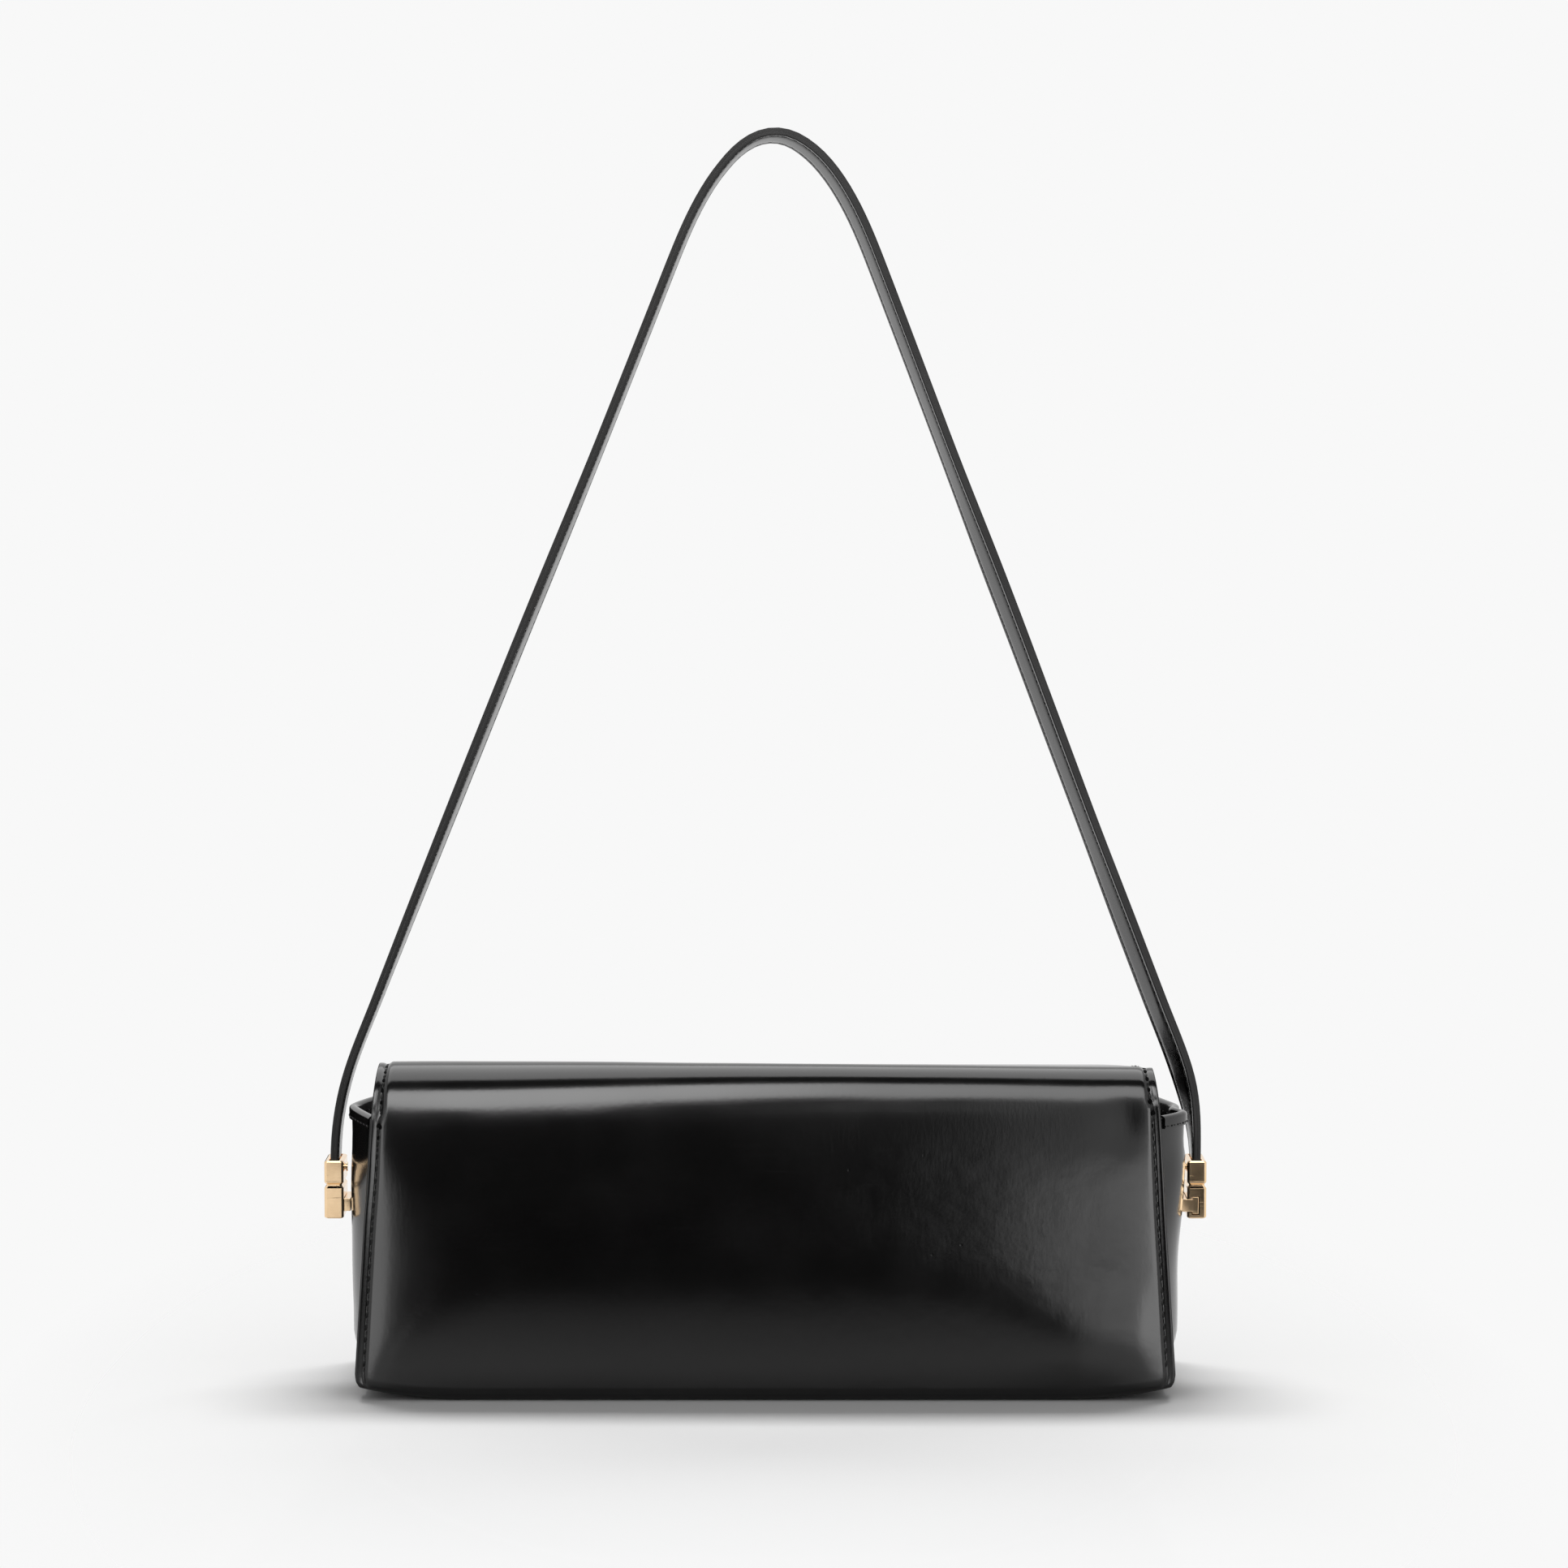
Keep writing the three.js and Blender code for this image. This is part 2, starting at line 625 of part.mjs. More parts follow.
// Magnets lie square to the puffed front, one pair in the flap's core and one in the padding
function alongFront(geometry, x, inset) {
  const step = 1;
  const slopeX = (puff(x + step, MAGNET_HEIGHT, FRONT) - puff(x - step, MAGNET_HEIGHT, FRONT)) / 2;
  const face = (z) => halfDepth(z) + puff(x, z, FRONT);
  const slopeZ = (face(MAGNET_HEIGHT + step) - face(MAGNET_HEIGHT - step)) / 2;
  const normal = new THREE.Vector3(-slopeX, 1, -slopeZ).normalize();
  const turn = new THREE.Quaternion().setFromUnitVectors(new THREE.Vector3(0, 1, 0), normal);
  const y = face(MAGNET_HEIGHT) - inset;
  return geometry.applyQuaternion(turn).translate(x, y, MAGNET_HEIGHT);
}
const disc = (radius, thickness) =>
  new THREE.CylinderGeometry(radius, radius, thickness, ROUND_SIDES);
const coreMiddle = (CORE_OUT + CORE_IN) / 2 - FLAP_CLEAR - FLAP_THICKNESS;
const padMiddle = PAD_OUT + GAP + MAGNET_THICKNESS / 2;
const pocketRadius = MAGNET_RADIUS + GAP;
const holes = (inset) => [-MAGNET_X, MAGNET_X].map((x) =>
  alongFront(disc(pocketRadius, 4 * (FRONT_PUFF + PAD)), x, inset));
add('flap_core', carve(flapLayer(CORE_OUT, CORE_IN), holes(coreMiddle)), STIFFENER);
const frontPad = wallSheet(FRONT, PAD_OUT, PAD_IN, WALL_LOW, FACING_LOW - GAP, padEnd, true);
add('front_padding', carve(frontPad, holes(padMiddle)), FOAM);
for (const [side, x] of [['left', -MAGNET_X], ['right', MAGNET_X]]) {
  const flapMagnet = alongFront(disc(MAGNET_RADIUS, MAGNET_THICKNESS), x, coreMiddle);
  add(`flap_magnet_${side}`, flapMagnet, STEEL);
  const frontMagnet = alongFront(disc(MAGNET_RADIUS, MAGNET_THICKNESS), x, padMiddle);
  add(`front_magnet_${side}`, frontMagnet, STEEL);
}

// End cap at the right: a block with a groove round it, a socket for the strap from above and a
// T-shaped channel along Y that is open at the back and shut at the front
const capIn = CAP_X - CAP_THICKNESS / 2;
const capOut = CAP_X + CAP_THICKNESS / 2;
const capLow = PIVOT_HEIGHT - CAP_BELOW_PIVOT;
const capHalf = CAP_DEPTH / 2;

// Outline of the cap at a height, drawn in by a distance, with chamfered upright corners
function capRing(z, inset) {
  const x = CAP_THICKNESS / 2 - inset;
  const y = capHalf - inset;
  const corners = [
    [x, y - CAP_CORNER],
    [x - CAP_CORNER, y],
    [-x + CAP_CORNER, y],
    [-x, y - CAP_CORNER],
  ];
  const half = corners.map(([px, py]) => new THREE.Vector3(CAP_X + px, py, z));
  const mirrored = half.map((point) => new THREE.Vector3(point.x, -point.y, z));
  return [...half, ...mirrored.reverse()];
}

const grooveMiddle = PIVOT_HEIGHT + GROOVE_ABOVE_PIVOT;
const capBlock = loft([
  capRing(capLow, CAP_CHAMFER),
  capRing(capLow + CAP_CHAMFER, 0),
  capRing(grooveMiddle - GROOVE_WIDTH / 2, 0),
  capRing(grooveMiddle - GROOVE_FLOOR / 2, GROOVE_DEPTH),
  capRing(grooveMiddle + GROOVE_FLOOR / 2, GROOVE_DEPTH),
  capRing(grooveMiddle + GROOVE_WIDTH / 2, 0),
  capRing(capTop - CAP_CHAMFER, 0),
  capRing(capTop, CAP_CHAMFER),
]);

const strapHalf = STRAP_THICKNESS / 2;
const socketHalf = STRAP_WIDTH / 2 + FIT;
const socket = block(CAP_X - strapHalf - FIT, CAP_X + strapHalf + FIT, -socketHalf, socketHalf,
  socketFloor, capTop + 1);
const channelEnd = capHalf - SLOT_END_WALL;
const channelStart = -capHalf - 1;
const neckHalf = BAR_STEM_HEIGHT / 2 + FIT;
const headHalf = BAR_HEAD_HEIGHT / 2 + FIT;
const headIn = capIn + BAR_NECK_WALL;
const headOut = headIn + BAR_HEAD_THICKNESS + 2 * FIT;
const neck = block(capIn - 1, headIn + FIT, channelStart, channelEnd,
  PIVOT_HEIGHT - neckHalf, PIVOT_HEIGHT + neckHalf);
const chamber = block(headIn, headOut, channelStart, channelEnd,
  PIVOT_HEIGHT - headHalf, PIVOT_HEIGHT + headHalf);
const screwHeight = capTop - SCREW_BELOW_TOP;
const screwTip = CAP_X + strapHalf + FIT + (capOut - CAP_X - strapHalf - FIT) / 2;
const screwHole = rodX(capIn - 1, screwTip + FIT, 0, screwHeight, SCREW_RADIUS + FIT);
addPair('end_cap', carve(capBlock, [socket, neck, chamber, screwHole]), GOLD);

const screw = weld([
  rodX(capIn - GAP - SCREW_HEAD, capIn - GAP, 0, screwHeight, SCREW_HEAD_RADIUS),
  rodX(capIn - GAP - SCREW_HEAD / 2, screwTip, 0, screwHeight, SCREW_RADIUS),
]);
addPair('strap_screw', screw, GOLD);

const strapHoles = [-1, 1].map((side) => {
  const hole = rodX(capIn, capOut, 0, screwHeight, SCREW_RADIUS + FIT);
  return side > 0 ? hole : otherEnd(hole);
});
add('strap_outer', carve(strapLayer(STRAP_THICKNESS / 2, GAP / 2), strapHoles), BLACK_LEATHER);
add('strap_inner', carve(strapLayer(-GAP / 2, -STRAP_THICKNESS / 2), strapHoles), BLACK_LEATHER);

// T-bar at the right: flat bar with a head in the cap's channel, and a round post that turns in
// the gusset and ends in a small head behind the washer
const barFace = GUSSET_TIP + BAR_STAND_OFF;
const barEnd = channelEnd - FIT;
const barStart = -capHalf + FIT;
const gussetInside = GUSSET_TIP - GUSSET;
const plateOut = gussetInside - GAP;
const plateIn = plateOut - PLATE_THICKNESS;
const washerOut = plateIn - GAP;
const washerIn = washerOut - WASHER_THICKNESS;
const postEnd = washerIn - GAP;
const bar = weld([
  block(barFace, headIn + FIT + BAR_HEAD_THICKNESS / 2, barStart, barEnd,
    PIVOT_HEIGHT - BAR_STEM_HEIGHT / 2, PIVOT_HEIGHT + BAR_STEM_HEIGHT / 2),
  block(headIn + FIT, headIn + FIT + BAR_HEAD_THICKNESS, barStart, barEnd,
    PIVOT_HEIGHT - BAR_HEAD_HEIGHT / 2, PIVOT_HEIGHT + BAR_HEAD_HEIGHT / 2),
  rodX(postEnd - POST_HEAD / 2, barFace + BAR_STAND_OFF, 0, PIVOT_HEIGHT, POST_RADIUS),
  rodX(postEnd - POST_HEAD, postEnd, 0, PIVOT_HEIGHT, POST_HEAD_RADIUS),
]);
addPair('t_bar', bar, GOLD);

const plate = carve(
  block(plateIn, plateOut, -PLATE_WIDTH / 2, PLATE_WIDTH / 2,
    PIVOT_HEIGHT - PLATE_HEIGHT / 2 + 2, PIVOT_HEIGHT + PLATE_HEIGHT / 2 + 2),
  [rodX(plateIn - 1, plateOut + 1, 0, PIVOT_HEIGHT, POST_RADIUS + RUNNING)],
);
addPair('anchor_plate', plate, STEEL);

const washer = carve(
  rodX(washerIn, washerOut, 0, PIVOT_HEIGHT, WASHER_RADIUS),
  [rodX(washerIn - 1, washerOut + 1, 0, PIVOT_HEIGHT, POST_RADIUS + FIT)],
);
addPair('post_washer', washer, STEEL);

export default bag;
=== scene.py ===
"""A small black leather shoulder bag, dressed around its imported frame.

The frame gives the bodies, the joints and the hard fittings. This script makes the leather, lining,
wadding, strap and stitches as meshes of their own, finishes every surface with procedural materials
and sets up a plain pale studio. Shapes are worked out in millimetres and written in metres.
"""

import json
import logging
import math
from dataclasses import dataclass
from enum import Enum, auto
from typing import Callable, NamedTuple, Sequence

import bpy
import numpy as np
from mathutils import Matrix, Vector


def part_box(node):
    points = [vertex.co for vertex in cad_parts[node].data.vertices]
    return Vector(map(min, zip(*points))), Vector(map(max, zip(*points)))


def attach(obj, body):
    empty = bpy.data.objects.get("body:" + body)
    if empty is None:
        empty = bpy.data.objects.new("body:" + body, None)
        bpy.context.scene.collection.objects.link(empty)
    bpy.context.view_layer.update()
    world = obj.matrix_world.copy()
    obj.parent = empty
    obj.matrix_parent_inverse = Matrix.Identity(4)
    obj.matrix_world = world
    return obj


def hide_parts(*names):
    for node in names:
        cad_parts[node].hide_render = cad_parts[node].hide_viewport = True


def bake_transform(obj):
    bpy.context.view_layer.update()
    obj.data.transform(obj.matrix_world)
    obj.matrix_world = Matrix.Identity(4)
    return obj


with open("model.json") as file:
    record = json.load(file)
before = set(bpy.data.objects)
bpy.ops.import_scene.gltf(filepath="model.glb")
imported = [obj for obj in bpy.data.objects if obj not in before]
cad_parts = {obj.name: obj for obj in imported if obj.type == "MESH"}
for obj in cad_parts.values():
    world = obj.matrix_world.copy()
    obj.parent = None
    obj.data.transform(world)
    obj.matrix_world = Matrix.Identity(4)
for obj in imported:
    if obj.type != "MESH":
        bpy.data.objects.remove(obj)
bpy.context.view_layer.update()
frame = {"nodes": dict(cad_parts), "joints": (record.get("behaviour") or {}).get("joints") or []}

MM = 0.001
log = logging.getLogger("bag")

Array = np.ndarray
Numbers = Array | float
Colour = tuple[float, float, float]
Span = tuple[float, float]
Point = tuple[float, float, float]
Piece = bpy.types.Object
Material = bpy.types.Material
Node = bpy.types.Node
Socket = bpy.types.NodeSocket


class Side(Enum):
    """An end of the bag."""

    LEFT = -1.0
    RIGHT = 1.0

    @property
    def word(self) -> str:
        """The side's name in node names."""
        return self.name.lower()


class Body(Enum):
    """A moving body of the frame."""

    BAG = "bag"
    FLAP = "flap"
    STRAP = "strap"


class Slot(Enum):
    """A material slot of the record."""

    LEATHER = "black_leather"
    STRAP = "strap_leather"
    CLOTH = "lining_cloth"
    GOLD = "gold_metal"
    STEEL = "steel"
    BOARD = "stiffener"
    WADDING = "wadding"


class Zone(Enum):
    """A stretch of the leather from under the base to the flap's edge."""

    BASE = auto()
    PANEL = auto()
    FOLD = auto()
    TOP = auto()
    HANG = auto()


Made = tuple[Piece, Slot, str | None]


def node_box(name: str) -> Array:
    """Lowest and highest corner of a frame node, in millimetres."""
    return np.array(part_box(name)) / MM


def joint_point(name: str) -> Array:
    """Where a joint's axis passes the middle of the bag, in millimetres."""
    joint = next(j for j in frame["joints"] if j["name"] == name)
    return np.array(joint["pos_m"]) / MM


def unit(vectors: Array) -> Array:
    """The same vectors with length one."""
    return vectors / np.maximum(np.linalg.norm(vectors, axis=-1, keepdims=True), 1e-12)


def ease(t: Array) -> Array:
    """A quarter sine from 0 to 1, steep at first."""
    return np.sin(np.clip(t, 0, 1) * math.pi / 2)


def soft_step(t: Array) -> Array:
    """A smooth step from 0 to 1."""
    t = np.clip(t, 0, 1)
    return t * t * (3 - 2 * t)


def bell(t: Array) -> Array:
    """A smooth rise of height one round zero."""
    return np.exp(-(t**2))


def soft_min(first: Array, second: Array, blur: float) -> Array:
    """The lesser of two heights with a rounded crossing.

    Args:
        first: one height.
        second: the other height.
        blur: how wide the crossing is rounded.

    Returns:
        The lesser height.
    """
    share = np.clip(0.5 + 0.5 * (second - first) / blur, 0, 1)
    return second * (1 - share) + first * share - blur * share * (1 - share)


class Hump(NamedTuple):
    """A smooth round rise or dent: its height, its middle and its spread across and up."""

    height: float
    at: Span
    spread: Span

    def rise(self, x: Array, z: Array) -> Array:
        """The rise at places across and up."""
        across, up = (x - self.at[0]) / self.spread[0], (z - self.at[1]) / self.spread[1]
        return self.height * np.exp(-(across**2) - up**2)


# Each wave is its steps across and along, its shift and its size.
WAVES = (
    (0.110, 0.071, 0.4, 0.8), (-0.067, 0.123, 1.9, 0.7), (0.191, 0.043, 3.1, 0.45),
    (0.149, -0.167, 5.0, 0.4), (0.037, 0.211, 2.4, 0.5),
)


def unevenness(x: Array, z: Array) -> Array:
    """Slow waves that hand-stretched leather keeps, about -1 to 1, at places across and along."""
    return sum(size * np.sin(a * x + b * z + shift) for a, b, shift, size in WAVES) / 2


def smoothed(grid: Array, axis: int, passes: int, weight: Numbers = 1.0) -> Array:
    """A grid of points relaxed along one of its directions, with its ends kept.

    Args:
        grid: rows and columns of points.
        axis: the direction.
        passes: how often it is relaxed.
        weight: how strongly, for each place along the direction.

    Returns:
        The relaxed grid.
    """
    work = np.moveaxis(grid.astype(float).copy(), axis, 0)
    share = np.broadcast_to(np.asarray(weight, float), (len(work),))[1:-1]
    share = share.reshape(-1, *([1] * (work.ndim - 1))) * 0.5
    for _ in range(passes):
        middle = (work[:-2] + work[2:]) / 2
        work[1:-1] += (middle - work[1:-1]) * share
    return np.moveaxis(work, 0, axis)


def grid_normals(grid: Array) -> Array:
    """One unit normal for each point of a grid, columns first."""
    return unit(np.cross(np.gradient(grid, axis=0), np.gradient(grid, axis=1)))


def row_of(x: Array, y: Numbers, z: Numbers) -> Array:
    """A row of points, where depth and height may be one number for all."""
    return np.stack(np.broadcast_arrays(x, y, z), -1)


def lengths_along(points: Array) -> Array:
    """How far along a line each of its points lies."""
    return np.concatenate([[0], np.cumsum(np.linalg.norm(np.diff(points, axis=0), axis=1))])


def resampled(points: Array, run: Array, at: Array) -> Array:
    """Values of a line, whose points lie at the lengths in run, at other lengths."""
    return np.stack([np.interp(at, run, column) for column in points.T], -1)


def circles(first: Array, second: Array, sides: int, squeeze: float = 1.0) -> Array:
    """A ring of directions for each pair of axes.

    Args:
        first: the first axes.
        second: the second axes.
        sides: corners of a ring.
        squeeze: how wide the rings are along the first axis.

    Returns:
        Rings first and corners second.
    """
    turns = (np.arange(sides) * math.pi / (sides / 2))[None, :, None]
    return first[:, None] * np.cos(turns) * squeeze + second[:, None] * np.sin(turns)


@dataclass(frozen=True)
class StitchRow:
    """Sizes of a row of stitches, in millimetres."""

    pitch: float = 3.9
    length: float = 3.0
    thread: float = 0.9
    rise: float = -0.06
    sink: float = 0.42
    slant: float = 0.16
    hole: float = 1.75


THREAD_SIDES, HOLE_SIDES, HOLE_SQUEEZE = 6, 8, 0.7
THREAD_PLACES = np.array([-0.5, -0.4, -0.15, 0.15, 0.4, 0.5])
THREAD_GIRTH = np.array([0.45, 0.85, 1.0, 1.0, 0.85, 0.45])
HOLE_RINGS = ((0.9, -0.15), (1.0, 0.0), (0.8, 0.05))
RIM_TURNS = np.linspace(0, math.pi, 7)[1:-1]
SHARP_FOLD, SHARP_CUT = 60.0, 50.0


class PieceMesh:
    """Collects the points and faces of one piece in millimetres."""

    def __init__(self) -> None:
        """Starts with nothing."""
        self.points: list[Array] = []
        self.faces: list[tuple[int, ...]] = []
        self.finishes: list[int] = []
        self.count = 0

    def add_points(self, points: Array) -> int:
        """Adds points.

        Args:
            points: the new points.

        Returns:
            The number that faces count them from.
        """
        self.points.append(np.asarray(points, float).reshape(-1, 3))
        self.count += len(self.points[-1])
        return self.count - len(self.points[-1])

    def add_faces(self, faces: Sequence[Sequence[int]], base: int, finish: int) -> None:
        """Adds faces.

        Args:
            faces: the numbers of their points.
            base: the number of the first point.
            finish: which of the piece's materials they take.
        """
        self.faces.extend(tuple(int(i) + base for i in face) for face in faces)
        self.finishes.extend([finish] * len(faces))

    def add_sheet(self, grid: Array, thickness: Numbers, rim: float, finishes: Sequence[int],
                  mirrored: bool) -> None:
        """Adds a closed sheet with rounded edges below a grid of points.

        Args:
            grid: the outer face, columns first.
            thickness: how thick the sheet is, all over or at each point.
            rim: how far the round edge stands out beyond the grid.
            finishes: materials of the outer face, the edge and the inner face.
            mirrored: whether the grid was mirrored, so that its faces turn over.
        """
        columns, rows = grid.shape[:2]
        turn = -1 if mirrored else 1
        normals = grid_normals(grid) * turn
        inner = grid - normals * np.broadcast_to(np.asarray(thickness, float), (columns, rows))[..., None]
        index = np.arange(columns * rows).reshape(columns, rows)
        quads = np.stack([index[:-1, :-1], index[1:, :-1], index[1:, 1:], index[:-1, 1:]], -1)
        quads = quads.reshape(-1, 4)[:, ::turn]
        loop = np.concatenate([index[:, 0], index[-1, 1:], index[-2::-1, -1], index[0, -2:0:-1]])
        flat, flat_in = grid.reshape(-1, 3), inner.reshape(-1, 3)
        edge, edge_in = flat[loop], flat_in[loop]
        along = np.roll(edge, -1, axis=0) - np.roll(edge, 1, axis=0)
        out = unit(np.cross(along, normals.reshape(-1, 3)[loop])) * turn
        middle, half = (edge + edge_in) / 2, (edge - edge_in) / 2
        rings = [middle + half * math.cos(a) + out * rim * math.sin(a) for a in RIM_TURNS]
        size, around = len(flat), len(loop)
        chain = [loop, *(2 * size + k * around + np.arange(around) for k in range(len(rings))), size + loop]
        strips = [np.stack([a, b, np.roll(b, -1), np.roll(a, -1)], -1) for a, b in zip(chain[:-1], chain[1:])]
        base = self.add_points(np.concatenate([flat, flat_in, *rings]))
        self.add_faces(quads, base, finishes[0])
        self.add_faces(np.concatenate(strips)[:, ::turn], base, finishes[1])
        self.add_faces(quads[:, ::-1] + size, base, finishes[2])

    def add_sweep(self, rings: Array, finishes: Sequence[int]) -> None:
        """Adds a closed solid through rings of points, shut at both ends.

        Args:
            rings: rings first, and the points of each ring second.
            finishes: the material of the strip that starts at each point of a ring.
        """
        count, around = rings.shape[:2]
        base = self.add_points(rings)
        first = np.arange(around)
        self.add_faces([first[::-1], (count - 1) * around + first], base, finishes[0])
        for k, finish in enumerate(finishes):
            n = (k + 1) % around
            starts = range(0, (count - 1) * around, around)
            self.add_faces([(a + k, a + n, a + around + n, a + around + k) for a in starts], base, finish)

    def sew(self, points: Array, normals: Array, row: StitchRow) -> None:
        """Adds sunk threads, and dark discs as painted shade at the needle holes, at even places along a line on a
        surface.

        Args:
            points: the line.
            normals: the surface's normals along it.
            row: sizes of the stitches.
        """
        run = lengths_along(points)
        count = max(2, int(run[-1] / row.pitch))
        at = (np.arange(count) + 0.5) * run[-1] / count
        middles, up = resampled(points, run, at), unit(resampled(normals, run, at))
        near = row.pitch / 4
        along = unit(resampled(points, run, at + near) - resampled(points, run, at - near))
        across = unit(np.cross(along, up))
        direction = unit(along + across * row.slant)
        rise = row.rise - (row.rise + row.sink) * (2 * THREAD_PLACES) ** 2
        core = middles[:, None] + direction[:, None] * (THREAD_PLACES * row.length)[None, :, None]
        core = core + up[:, None] * rise[None, :, None]
        rings = circles(unit(np.cross(direction, up)), up, THREAD_SIDES)
        girth = THREAD_GIRTH * row.thread / 2
        for stitch in core[:, :, None] + rings[:, None] * girth[None, :, None, None]:
            self.add_sweep(stitch, [0] * THREAD_SIDES)
        # The needle holes are dark discs that lie on the surface: painted shade in place of hollow holes.
        holes = circles(across, along, HOLE_SIDES, HOLE_SQUEEZE) * row.hole / 2
        for middle, shape, normal in zip(middles - along * row.pitch / 2, holes, up):
            rings = [middle + shape * size + normal * lift for size, lift in HOLE_RINGS]
            self.add_sweep(np.array(rings), [1] * HOLE_SIDES)

    def make(self, name: str, materials: Sequence[Material], sharp: float = SHARP_FOLD) -> Piece:
        """Makes the piece's object.

        Args:
            name: the piece's name.
            materials: its materials, in the order that the faces count them.
            sharp: edges that turn more than this many degrees stay sharp.

        Returns:
            The object, in the scene.
        """
        mesh = bpy.data.meshes.new(name)
        mesh.from_pydata((np.concatenate(self.points) * MM).tolist(), [], self.faces)
        for material in materials:
            mesh.materials.append(material)
        mesh.polygons.foreach_set("material_index", np.array(self.finishes, np.int32))
        mesh.polygons.foreach_set("use_smooth", np.ones(len(self.faces), bool))
        mesh.validate()
        mesh.update()
        mesh.set_sharp_from_angle(angle=math.radians(sharp))
        return link(bpy.data.objects.new(name, mesh))


def link(thing: bpy.types.Object) -> bpy.types.Object:
    """Puts an object into the scene and returns it."""
    bpy.context.scene.collection.objects.link(thing)
    return thing


OUT_EDGE_IN, ALL_ONE = (0, 1, 2), (0, 0, 0)


def sheet_piece(name: str, grid: Array, thickness: Numbers, rim: float, materials: Sequence[Material],
                finishes: Sequence[int] = OUT_EDGE_IN, mirrored: bool = False) -> Piece:
    """Makes a piece that is one closed sheet.

    Args:
        name: the piece's name.
        grid: its outer face, columns first.
        thickness: how thick it is, all over or at each point.
        rim: how far its round edge stands out.
        materials: its materials.
        finishes: which of them the outer face, the edge and the inner face take.
        mirrored: whether the grid was mirrored.

    Returns:
        The piece.
    """
    mesh = PieceMesh()
    mesh.add_sheet(grid, thickness, rim, finishes, mirrored)
    return mesh.make(name, materials)


def label(piece: Piece, node: str | None) -> None:
    """Logs a piece and hides the node that it stands for.

    Args:
        piece: the piece.
        node: the node that it replaces, if any.
    """
    if node:
        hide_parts(node)
    log.info("%s: %d faces, stands for %s", piece.name, len(piece.data.polygons), node or "no node")


def place(made: Sequence[Made], body: Body) -> None:
    """Joins pieces to a body and hides the nodes that they stand for.

    Args:
        made: each piece with its slot and its node.
        body: the body that they ride on.
    """
    for piece, slot, node in made:
        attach(piece, body.value)
        label(piece, node)


# Materials


class NodeSheet:
    """Short ways to add and join nodes in a node tree."""

    def __init__(self, tree: bpy.types.NodeTree) -> None:
        """Keeps the tree."""
        self.tree = tree

    def node(self, kind: str, inputs: dict[str | int, object] | None = None, **values: object) -> Node:
        """Adds a node.

        Args:
            kind: Blender's name of the node, without its first word.
            inputs: values or sockets for its inputs.
            values: its own settings.

        Returns:
            The node.
        """
        made = self.tree.nodes.new(f"ShaderNode{kind}")
        for key, value in values.items():
            setattr(made, key, value)
        for key, value in (inputs or {}).items():
            self.feed(made.inputs[key], value)
        return made

    def feed(self, socket: Socket, value: object) -> None:
        """Sets a socket, or joins another socket to it.

        Args:
            socket: the input.
            value: a number, colour, vector or output socket.
        """
        if isinstance(value, Socket):
            self.tree.links.new(value, socket)
        else:
            socket.default_value = value

    def maths(self, operation: str, first: object, second: object = 0.0) -> Socket:
        """The result of a Math node on one or two numbers."""
        return self.node("Math", {0: first, 1: second}, operation=operation).outputs[0]

    def times(self, first: object, second: object) -> Socket:
        """The product of two numbers."""
        return self.maths("MULTIPLY", first, second)

    def plus(self, first: object, second: object) -> Socket:
        """The sum of two numbers."""
        return self.maths("ADD", first, second)

    def blend(self, share: object, first: object, second: object) -> Socket:
        """A colour between two colours, with a share of the second."""
        return self.node("Mix", {0: share, 6: first, 7: second}, data_type="RGBA").outputs[2]

    def between(self, value: object, low: float, high: float, to_low: float = 0.0, to_high: float = 1.0) -> Socket:
        """A number mapped from one span to another."""
        return self.node("MapRange", {0: value, 1: low, 2: high, 3: to_low, 4: to_high}).outputs[0]

    def noise(self, at: Socket, scale: object, detail: float, roughness: float = 0.5) -> Socket:
        """Noise at places on the surface."""
        inputs = {"Vector": at, "Scale": scale, "Detail": detail, "Roughness": roughness}
        return self.node("TexNoise", inputs).outputs[0]

    def mapped(self, at: Socket, scale: Point, turn: Point = (0.0, 0.0, 0.0)) -> Socket:
        """Places on the surface, turned and stretched."""
        return self.node("Mapping", {"Vector": at, "Rotation": turn, "Scale": scale}).outputs[0]

    def split(self, at: Socket) -> bpy.types.NodeOutputs:
        """The three numbers of a vector."""
        return self.node("SeparateXYZ", {0: at}).outputs


def new_group(name: str, inputs: dict[str, float], outputs: Sequence[str]) -> tuple:
    """Starts a shader node group.

    Args:
        name: the group's name.
        inputs: for each number input its default.
        outputs: names of its number outputs.

    Returns:
        The group, its helper, its inputs and its outputs.
    """
    group = bpy.data.node_groups.new(name, "ShaderNodeTree")
    group.interface.new_socket("Position", in_out="INPUT", socket_type="NodeSocketVector")
    for word, value in inputs.items():
        made = group.interface.new_socket(word, in_out="INPUT", socket_type="NodeSocketFloat")
        made.default_value = value
    for word in outputs:
        group.interface.new_socket(word, in_out="OUTPUT", socket_type="NodeSocketFloat")
    source, sink = (group.nodes.new(f"NodeGroup{end}") for end in ("Input", "Output"))
    return group, NodeSheet(group), source.outputs, sink.inputs


# A noise is its scale, detail and roughness (the clouds get their scale from the finish).
# A span is its two ends, and then what they become where that isn't 0 and 1.
PORE_DEPTH, PIT_SPAN = 0.22, (0.0, 0.045, -1.2, 0.0)
STROKE_SCALE, STROKE_TURN, STROKE_NOISE = (900.0, 420.0, 230.0), (0.0, 0.9, 0.0), (1.0, 4.0, 0.62)
PATCH_NOISE, PATCH_SPAN, CREASE_SPAN = (38.0, 3.0), (0.38, 0.68), (0.0, 1.0, 0.25, 1.0)
RIPPLE_SCALE, RIPPLE_NOISE = (100.0, 100.0, 125.0), (1.0, 1.6)
RIPPLE_ACROSS, RIPPLE_UP = (-0.04, 0.05, 0.2, 1.0), (0.079, 0.089, 1.0, 0.0)
CLOUD_DETAIL, CLOUD_SPAN = (5.0, 0.6), (0.35, 0.7)
HAIR_SCALE, HAIR_TURN = (60.0, 2400.0, 2400.0), (0.4, 0.7, 0.2)
